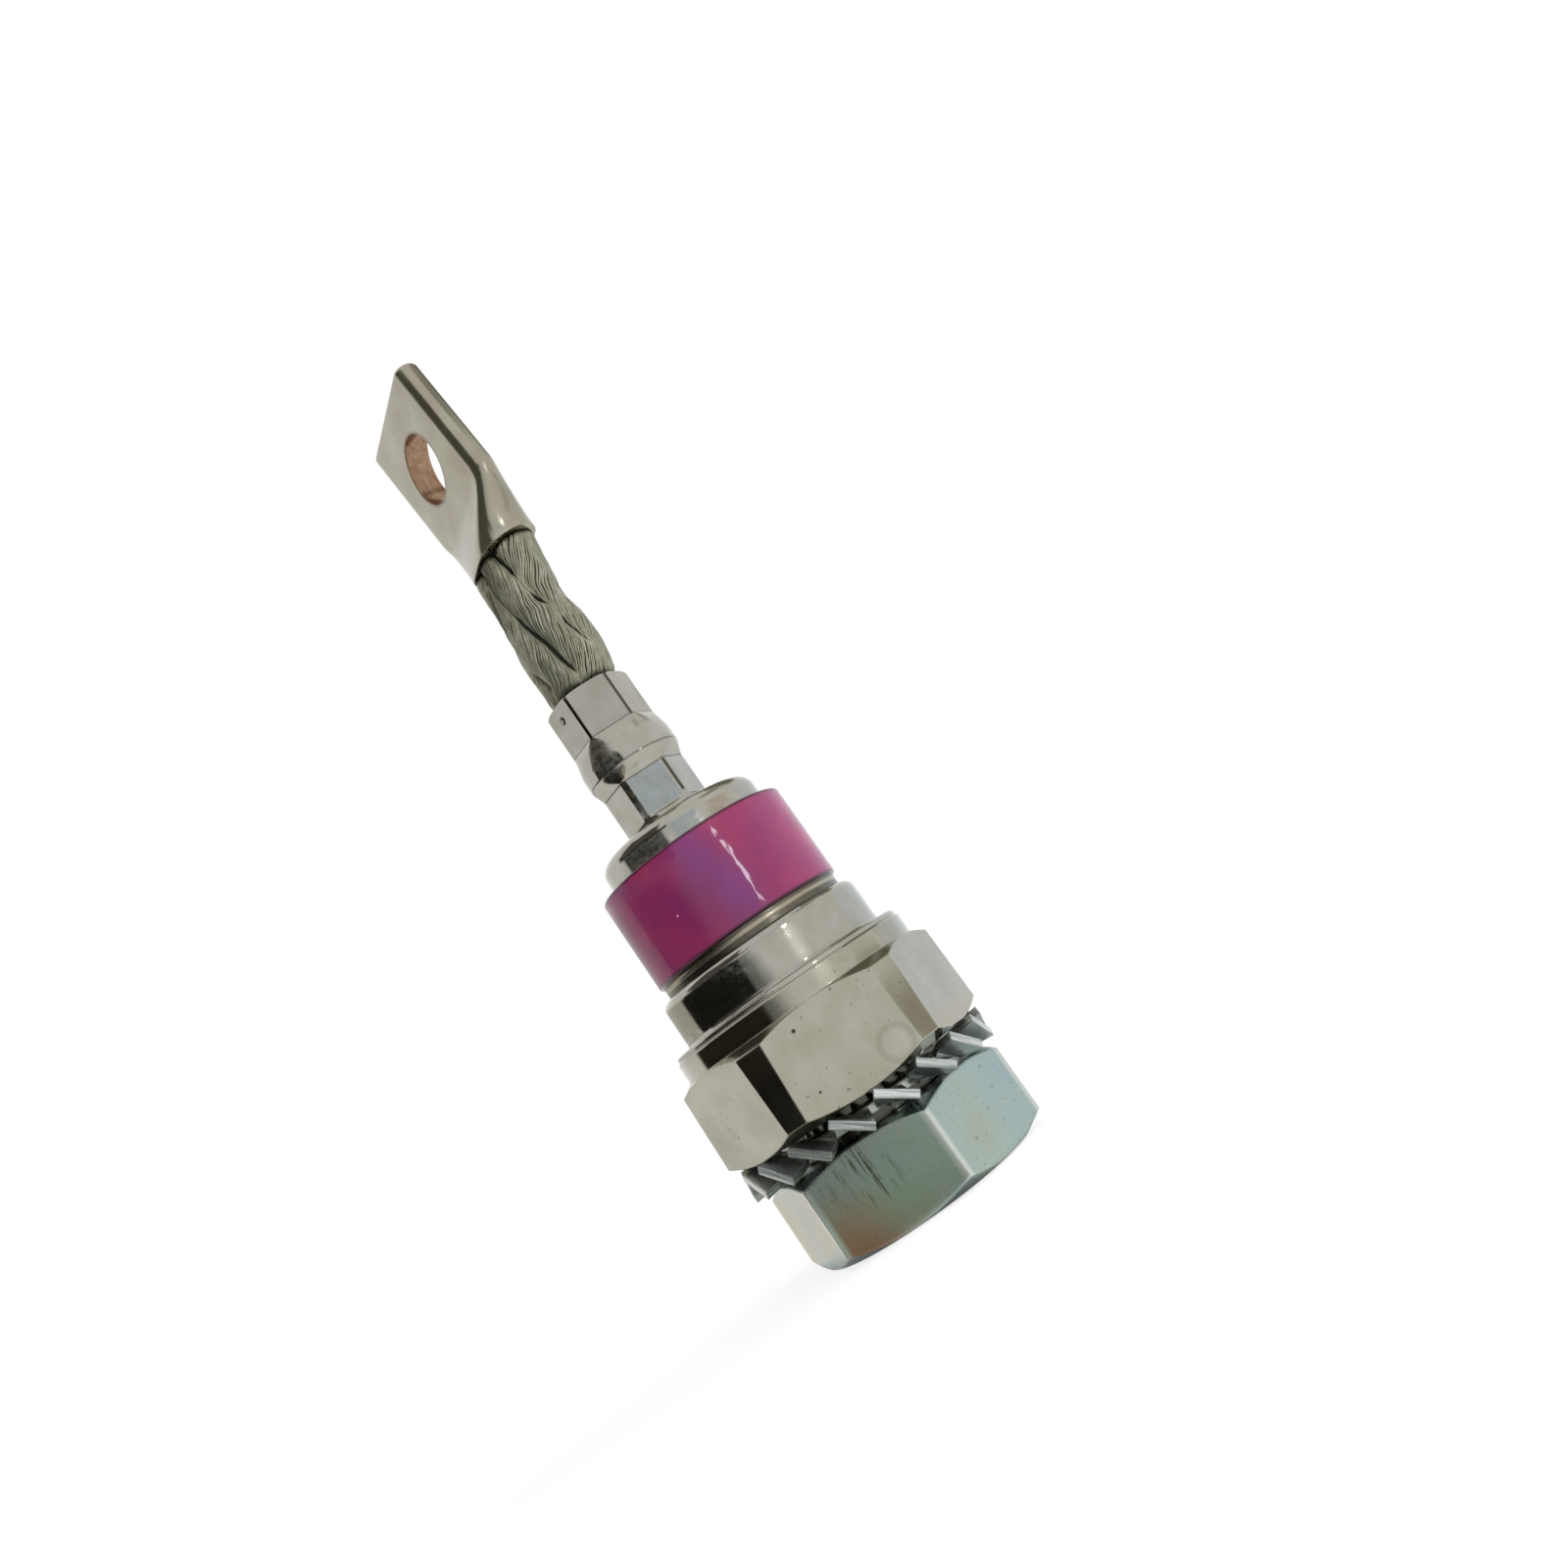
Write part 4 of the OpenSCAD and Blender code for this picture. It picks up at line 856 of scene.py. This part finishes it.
for vertex in sleeve.data.vertices:
    column = round((vertex.co.x + 1) / 2 * 6 * PER_FLAT)
    radius, h = outline[round((vertex.co.y + 1) / 2 * (len(outline) - 1))]
    step = (column % PER_FLAT) / (PER_FLAT / 2) - 1
    off = math.copysign(1 - (1 - abs(step)) ** 2, step) * SIXTH
    q = math.radians(CRIMP_TURN) + column // PER_FLAT * 2 * SIXTH + off
    if radius is None:
        radius = hexagon(off, *sleeve_widths(h))
    vertex.co = Vector((radius * math.cos(q), radius * math.sin(q), Z_SLEEVE + h)) * MM
merge_doubles(outwards=True)
print("rows of the sleeve", len(outline), "faces", len(sleeve.data.polygons))

# %% [markdown]
# ## Terminal sleeve: its inspection hole
#
# Through this small hole an inspector sees that the lead reaches far enough into the crimp. It is blind
# here and conical, as a countersunk hole is. A cone is set into the flat and cut out of the wall by a
# Boolean modifier, which leaves a clean edge at any angle.

# %% Inspection hole
PEEP_R, PEEP_INNER_R, PEEP_DEPTH, PEEP_FROM_END = 0.55, 0.3, 0.5, 1.9
PEEP_TURN = math.radians(CRIMP_TURN - 120)
PEEP_AT = (FLAT_R * math.cos(PEEP_TURN), FLAT_R * math.sin(PEEP_TURN), Z_SLEEVE + SLEEVE_H - PEEP_FROM_END)
clear_selection()
bpy.ops.mesh.primitive_cone_add(vertices=32, depth=2 * PEEP_DEPTH * MM, radius1=PEEP_INNER_R * MM,
                                radius2=(2 * PEEP_R - PEEP_INNER_R) * MM, location=Vector(PEEP_AT) * MM,
                                rotation=(0, math.pi / 2, PEEP_TURN))
punch = bpy.context.object
clear_selection()
bpy.context.view_layer.objects.active = sleeve
sleeve.select_set(True)
bpy.ops.object.modifier_add(type="BOOLEAN")
sleeve.modifiers[-1].object = punch
bpy.ops.object.modifier_apply(modifier=sleeve.modifiers[-1].name)
merge_doubles()
bpy.ops.object.shade_smooth_by_angle(angle=math.radians(35))
bpy.data.objects.remove(punch)
sleeve.data.materials.clear()
sleeve.data.materials.append(crimped_nickel)
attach(sleeve, "root")
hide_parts("terminal_sleeve")
print("sleeve faces with its hole", len(sleeve.data.polygons))

# %% [markdown]
# ## Stranded lead: its form
#
# The lead is a short rope: six strands wind one way round it, and in each strand thin tinned copper wires
# wind the other way, so that the rope doesn't untwist. It is pressed round at the sleeve, swells above it,
# and flares into the oval barrel of the lug, whose mouth slants: it is high on one side and low on the
# other. Between the strands run furrows, which gape over some stretches. A form like this can't be pushed
# out of a primitive by hand, so the next two cells work out its points. Heights are over the sleeve's end,
# angles in degrees.


# %% Form of the lead
Z_LEAD = Z_SLEEVE + SLEEVE_H
LEAD_FREE = Z_MOUTH - Z_LEAD
LEAD_R, LOOSE, PRESSED = 4.25, 0.3, 1.2  # radius in the crimp, what it springs open by, over which height
SWELL, SWELL_AT, SWELL_REACH = 0.54, 6.25, 4.5
BARREL, BARREL_IN = (5.9, 4.5), 1.35  # half-widths of the lug's barrel, and how far in the lead goes there
MOUTH_LOW, MOUTH_DROP, MOUTH_HIGH = 0.8, 1.2, 61.5  # drop all round, more on the low side, the high side
FLARE, TUCK, TUCK_FROM = 8.0, 0.6, 0.3  # lengths of widening and going in, and where that starts
BULGE, FLUSH = 0.2, 0.75  # how far the lead stands out of the barrel, and how much less on the low side
EARLY_BEND, LATE_BEND, LATE_SHARE = 11, 18, 0.47  # powers of the two bends sideways, share of the second


def low_share(q):
    """From nothing on the high side of the lug's mouth to one on its low side, at an angle."""
    return (1 - math.cos(math.radians(q - MOUTH_HIGH))) / 2


def lead_half(h, q=MOUTH_HIGH):
    """Half-widths of the lead along X and Y at a height and an angle."""
    swell = SWELL * math.exp(-((h - SWELL_AT) / SWELL_REACH) ** 2)
    to_mouth = h + MOUTH_LOW + MOUTH_DROP * low_share(q) - LEAD_FREE
    flare = ease((to_mouth + FLARE + TUCK) / FLARE)
    tuck = ease((to_mouth + TUCK_FROM) / TUCK)
    pressed = 1 - ease(h / PRESSED)
    bulge = BULGE - FLUSH * low_share(q)
    free = [mix(LEAD_R + LOOSE + swell, b + bulge, flare) for b in BARREL]
    return [mix(mix(f, b - BARREL_IN, tuck), LEAD_R, pressed) for f, b in zip(free, BARREL)]


def lead_middle(h):
    """Sideways place of the lead's middle at a height."""
    t = min(max(h / LEAD_FREE, 0.0), 1.0)
    early, late = 1 - (1 - t) ** EARLY_BEND, t ** LATE_BEND
    past = max(h - LEAD_FREE, 0.0)
    return SHIFT[0] * mix(early, late, LATE_SHARE) - past * LEAN, SHIFT[1] * late


def on_lead(q, h, sink):
    """The point at an angle and a height, sunk under the lead's surface."""
    half, middle, a = lead_half(h, q), lead_middle(h), math.radians(q)
    return Vector((middle[0] + (half[0] - sink) * math.cos(a), middle[1] + (half[1] - sink) * math.sin(a),
                   Z_LEAD + h)) * MM


print("lead from", round(Z_LEAD, 2), "to", round(Z_MOUTH, 2), "mm")

# %% Furrows between the strands
STRANDS, STRAND_TURN, LAY = 6, -21.6, 3.45  # turn at the foot in degrees, and degrees a millimetre
FURROW, STRAND_ROUND = 0.85, 3  # depth of an open furrow, power of a strand's rounding
SWAYS = [(2.0, 0.35, 1.7), (1.5, 1.1, 2.3)]  # degrees, rate along the lead, offset from strand to strand
PINCHED, PINCH, PINCH_FROM, PINCH_OVER = 1, -14.0, 8, 9  # one furrow that leans over to its neighbour
CLOSED_SHARE, SLIT_END = 0.35, 1.5  # depth of a closed furrow, length over which a slit closes
# The stretches over which each furrow gapes, from one height to another.
OPEN = [[(1.5, 12.5), (16.6, 20.6)], [(4.0, 9.0), (10.4, 13.6), (15.2, 21.5)], [(9.0, 15.0)],
        [(2.0, 8.0), (14.0, 20.0)], [(6.0, 17.0)], [(1.0, 6.0), (11.0, 18.0)]]


def furrow(g, h):
    """The angle of a furrow between two strands: a steady lay with a little sway of its own."""
    own = g % STRANDS
    sway = sum(size * math.sin(rate * h + offset * own) for size, rate, offset in SWAYS)
    pinch = PINCH * ease((h - PINCH_FROM) / PINCH_OVER) if own == PINCHED else 0.0
    return 360 * g / STRANDS + STRAND_TURN - LAY * h + sway + pinch


def slit(g, h):
    """How far a furrow gapes at a height, from nothing to one."""
    return max(ease((h - low) / SLIT_END) * ease((high - h) / SLIT_END) for low, high in OPEN[g % STRANDS])


def strand_sink(u, gape, h):
    """How deep a strand's surface lies under the lead's, at a share of its width from furrow to furrow."""
    depth = FURROW * ease(h / PRESSED) * (1 - ease((h - LEAD_FREE + TUCK) / TUCK))
    return depth * mix(CLOSED_SHARE, 1.0, gape) * abs(2 * u - 1) ** STRAND_ROUND


print("a strand turns by", round(LAY * LEAD_FREE), "degrees on its way up")

# %% [markdown]
# ## Lug with its slanting mouth
#
# The CAD lug ends level, and on the real one the mouth of the barrel slants and comes lower down over the
# lead. A copy of its mesh is merged, and the points near the mouth are pulled down along the lug's lean,
# most at the mouth itself and on its low side, so the flat tongue above keeps its place. The barrel could
# be cut and extruded as well, but pulling keeps its pressed form smooth.

# %% Lug
MOUTH_REACH, MOUTH_W = 7.6, 9.6  # height over which the drop ends, width over which it grows
clear_selection()
lug = bpy.data.objects.new("lug_body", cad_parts["terminal_lug"].data.copy())
bpy.context.scene.collection.objects.link(lug)
bpy.context.view_layer.objects.active = lug
lug.select_set(True)
bpy.ops.mesh.customdata_custom_splitnormals_clear()
merge_doubles()
to_high = Vector((math.cos(math.radians(MOUTH_HIGH)), math.sin(math.radians(MOUTH_HIGH))))
for vertex in lug.data.vertices:
    off = vertex.co.xy / MM - Vector(SHIFT)
    share = min(max(0.5 - off.dot(to_high) / MOUTH_W, 0.0), 1.0)
    drop = (MOUTH_LOW + MOUTH_DROP * share) * (1 - ease((vertex.co.z / MM - Z_MOUTH) / MOUTH_REACH))
    vertex.co += Vector((drop * LEAN, 0, -drop)) * MM
bpy.ops.object.shade_smooth_by_angle(angle=math.radians(30))
lug.data.materials.clear()
lug.data.materials.append(tinned)
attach(lug, "root")
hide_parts("terminal_lug")
print("lug faces", len(lug.data.polygons))

# %% [markdown]
# ## Wires
#
# Every wire is drawn. Its path goes round inside its strand while the strand goes round the lead, with a
# little wandering of its own from seeded random numbers. The points are laid as a curve, given a square
# bevel that smooth shading makes round, and turned to a mesh. The real wires are somewhat thinner: they are
# drawn at 0.28 mm so that they show in the picture, and thicker still where the lead flares, so that they
# go on covering it.


# %% Wires
WIRE_R, WIRES, WIRE_TWIST, STEPS = 0.14, 58, 17.0, 58  # wires a strand, degrees a millimetre, steps a wire
LOW, HIGH = -0.8, LEAD_FREE + 0.9  # the wires' ends, in the sleeve and in the lug
UNEVEN, LIFT = 3, 0.045  # the most that a wire is off its even angle, and off the surface
WANDER, WANDER_RATE, FULL_TURN = 3.5, 0.9, 6.28  # degrees, rate along the lead, range of its phase
EDGE, RAGGED, RAGGED_MORE = 0.015, 0.055, 0.035  # room at a furrow, and what a slit adds to it
INWARD = 1.4  # how deep a wire dives on the inner side of its strand


def wire_path(strand, start, lift, wander, phase, ragged):
    """The points of one wire, from its foot in the sleeve to its end in the lug."""
    points = []
    for k in range(STEPS + 1):
        h = mix(LOW, HIGH, k / STEPS)
        a = math.radians(start + WIRE_TWIST * h + wander * math.sin(WANDER_RATE * h + phase))
        u = (1 + math.sin(a)) / 2
        left, right = slit(strand, h), slit(strand + 1, h)
        across = mix(EDGE + ragged * left, 1 - EDGE - ragged * right, u)
        q = mix(furrow(strand, h), furrow(strand + 1, h), across)
        inward = max(-math.cos(a), 0.0) * INWARD
        sink = WIRE_R + strand_sink(u, left if u < 0.5 else right, h) + inward
        points.append(on_lead(q, h, sink + lift * ease(h / PRESSED)))
    return points


random.seed(7)
clear_selection()
curve = bpy.data.curves.new("wires", "CURVE")
curve.dimensions = "3D"
curve.bevel_depth = WIRE_R * MM
curve.bevel_resolution = 0
curve.use_fill_caps = True
for strand in range(STRANDS):
    for wire in range(WIRES):
        start = 360 * wire / WIRES + random.uniform(-UNEVEN, UNEVEN)
        lift = random.uniform(-LIFT, LIFT)
        wander, phase = random.uniform(0, WANDER), random.uniform(0, FULL_TURN)
        ragged = RAGGED + random.uniform(0, RAGGED_MORE)
        points = wire_path(strand, start, lift, wander, phase, ragged)
        spline = curve.splines.new("POLY")
        spline.points.add(len(points) - 1)
        for k, (point, place) in enumerate(zip(spline.points, points)):
            point.co = (*place, 1.0)
            point.radius = lead_half(mix(LOW, HIGH, k / STEPS))[0] / (LEAD_R + LOOSE)
wires = bpy.data.objects.new("lead_wires", curve)
bpy.context.scene.collection.objects.link(wires)
bpy.context.view_layer.objects.active = wires
wires.select_set(True)
bpy.ops.object.convert(target="MESH")
wires = bpy.context.object
bpy.ops.object.shade_smooth()
print("wire triangles", sum(len(p.vertices) - 2 for p in wires.data.polygons))

# %% [markdown]
# ## Core under the wires
#
# Between the outer wires one sees deeper ones, and in a furrow hardly anything. A core stands for all of
# them: a cylinder cut into rows, whose points follow the same strands and furrows a little deeper than the
# wires. How deep a point lies in a furrow is kept in an attribute of the mesh, which the finish reads.

# %% Core
CORE_COLUMNS, CORE_ROWS = 144, 64
CORE_SINK, CORE_DIG = 0.27, 1.3  # depth under the lead's surface, and how much deeper its furrows are
SHUT_SHADE, SHADE_POWER = 0.3, 5  # shade of a closed furrow, and how narrow the shade is
clear_selection()
bpy.ops.mesh.primitive_cylinder_add(vertices=CORE_COLUMNS, radius=1, depth=2, end_fill_type="NGON")
core = bpy.context.object
core.name = "lead_core"
bpy.ops.object.mode_set(mode="EDIT")
for row in range(1, CORE_ROWS):
    bpy.ops.mesh.select_all(action="SELECT")
    bpy.ops.mesh.bisect(plane_co=(0, 0, -1 + 2 * row / CORE_ROWS), plane_no=(0, 0, 1))
bpy.ops.object.mode_set(mode="OBJECT")
furrow_shade = core.data.attributes.new("furrow", "FLOAT", "POINT")
for vertex in core.data.vertices:
    h = mix(LOW, HIGH, (vertex.co.z + 1) / 2)
    q = math.degrees(math.atan2(vertex.co.y, vertex.co.x))
    for strand in range(STRANDS):
        width = furrow(strand + 1, h) - furrow(strand, h)
        u = (q - furrow(strand, h)) % 360 / width
        if u <= 1:
            break
    gape = slit(strand, h) if u < 0.5 else slit(strand + 1, h)
    furrow_shade.data[vertex.index].value = mix(SHUT_SHADE, 1.0, gape) * abs(2 * u - 1) ** SHADE_POWER
    vertex.co = on_lead(q, h, CORE_SINK + CORE_DIG * strand_sink(u, gape, h))
bpy.ops.object.shade_smooth()
print("core vertices", len(core.data.vertices))

# %% [markdown]
# ## Lead: tinned wire, and painted shade in the furrows
#
# The wires are tinned copper, drawn through a die and dulled by handling: a warm grey metal with a broad,
# soft shine. The core is painted the dull grey of wires that lie in the shade, and goes to nearly black
# where a furrow gapes, as painted shade deep in the furrow.

# %% Wire and core finishes
wire_tin, tree, shader, place = new_finish("tinned copper wire")
drift = add(tree, "TexNoise", {"Vector": place, "Scale": scale_for(1.6), "Detail": 4.0, "Roughness": 0.65})
tint = add(tree, "ValToRGB", {"Fac": drift.outputs["Fac"]},
           stops=[(0.3, linear("#97967F")), (0.55, linear("#AEAD9A")), (0.72, linear("#BFBEAF"))])
fill(tree, shader, {"Metallic": 1.0, "Roughness": 0.45,
                    "Base Color": painted_corner_shade(tree, tint.outputs[0], 1.0, 0.3)})
wires.data.materials.append(wire_tin)
shade, tree, shader, place = new_finish("tinned wires below, painted shade in the furrows")
drift = add(tree, "TexNoise", {"Vector": place, "Scale": scale_for(0.6), "Detail": 3.0})
depth = add(tree, "Attribute", attribute_name="furrow")
# Painted shade: the core darkens to nearly black where a furrow gapes.
tint = add(tree, "ValToRGB", {"Fac": depth.outputs["Fac"]},
           stops=[(0.0, linear("#7E7C6C")), (0.35, linear("#46443A")), (0.8, linear("#14120E"))])
tone = add(tree, "MapRange", {"Value": drift.outputs["Fac"], **NOISE_SPAN, "To Min": 0.7, "To Max": 1.1})
colour = add(tree, "Mix", {SHARE: 1.0, UNDER: tint.outputs[0], OVER: tone.outputs[0]}, **MULTIPLIED)
fill(tree, shader, {"Roughness": 0.7, "Base Color": colour.outputs[MIXED]})
core.data.materials.append(shade)
for piece in (wires, core):
    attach(piece, "root")
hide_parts("flexible_lead")
print("lead finished:", wire_tin.name, "over", shade.name)

# %% [markdown]
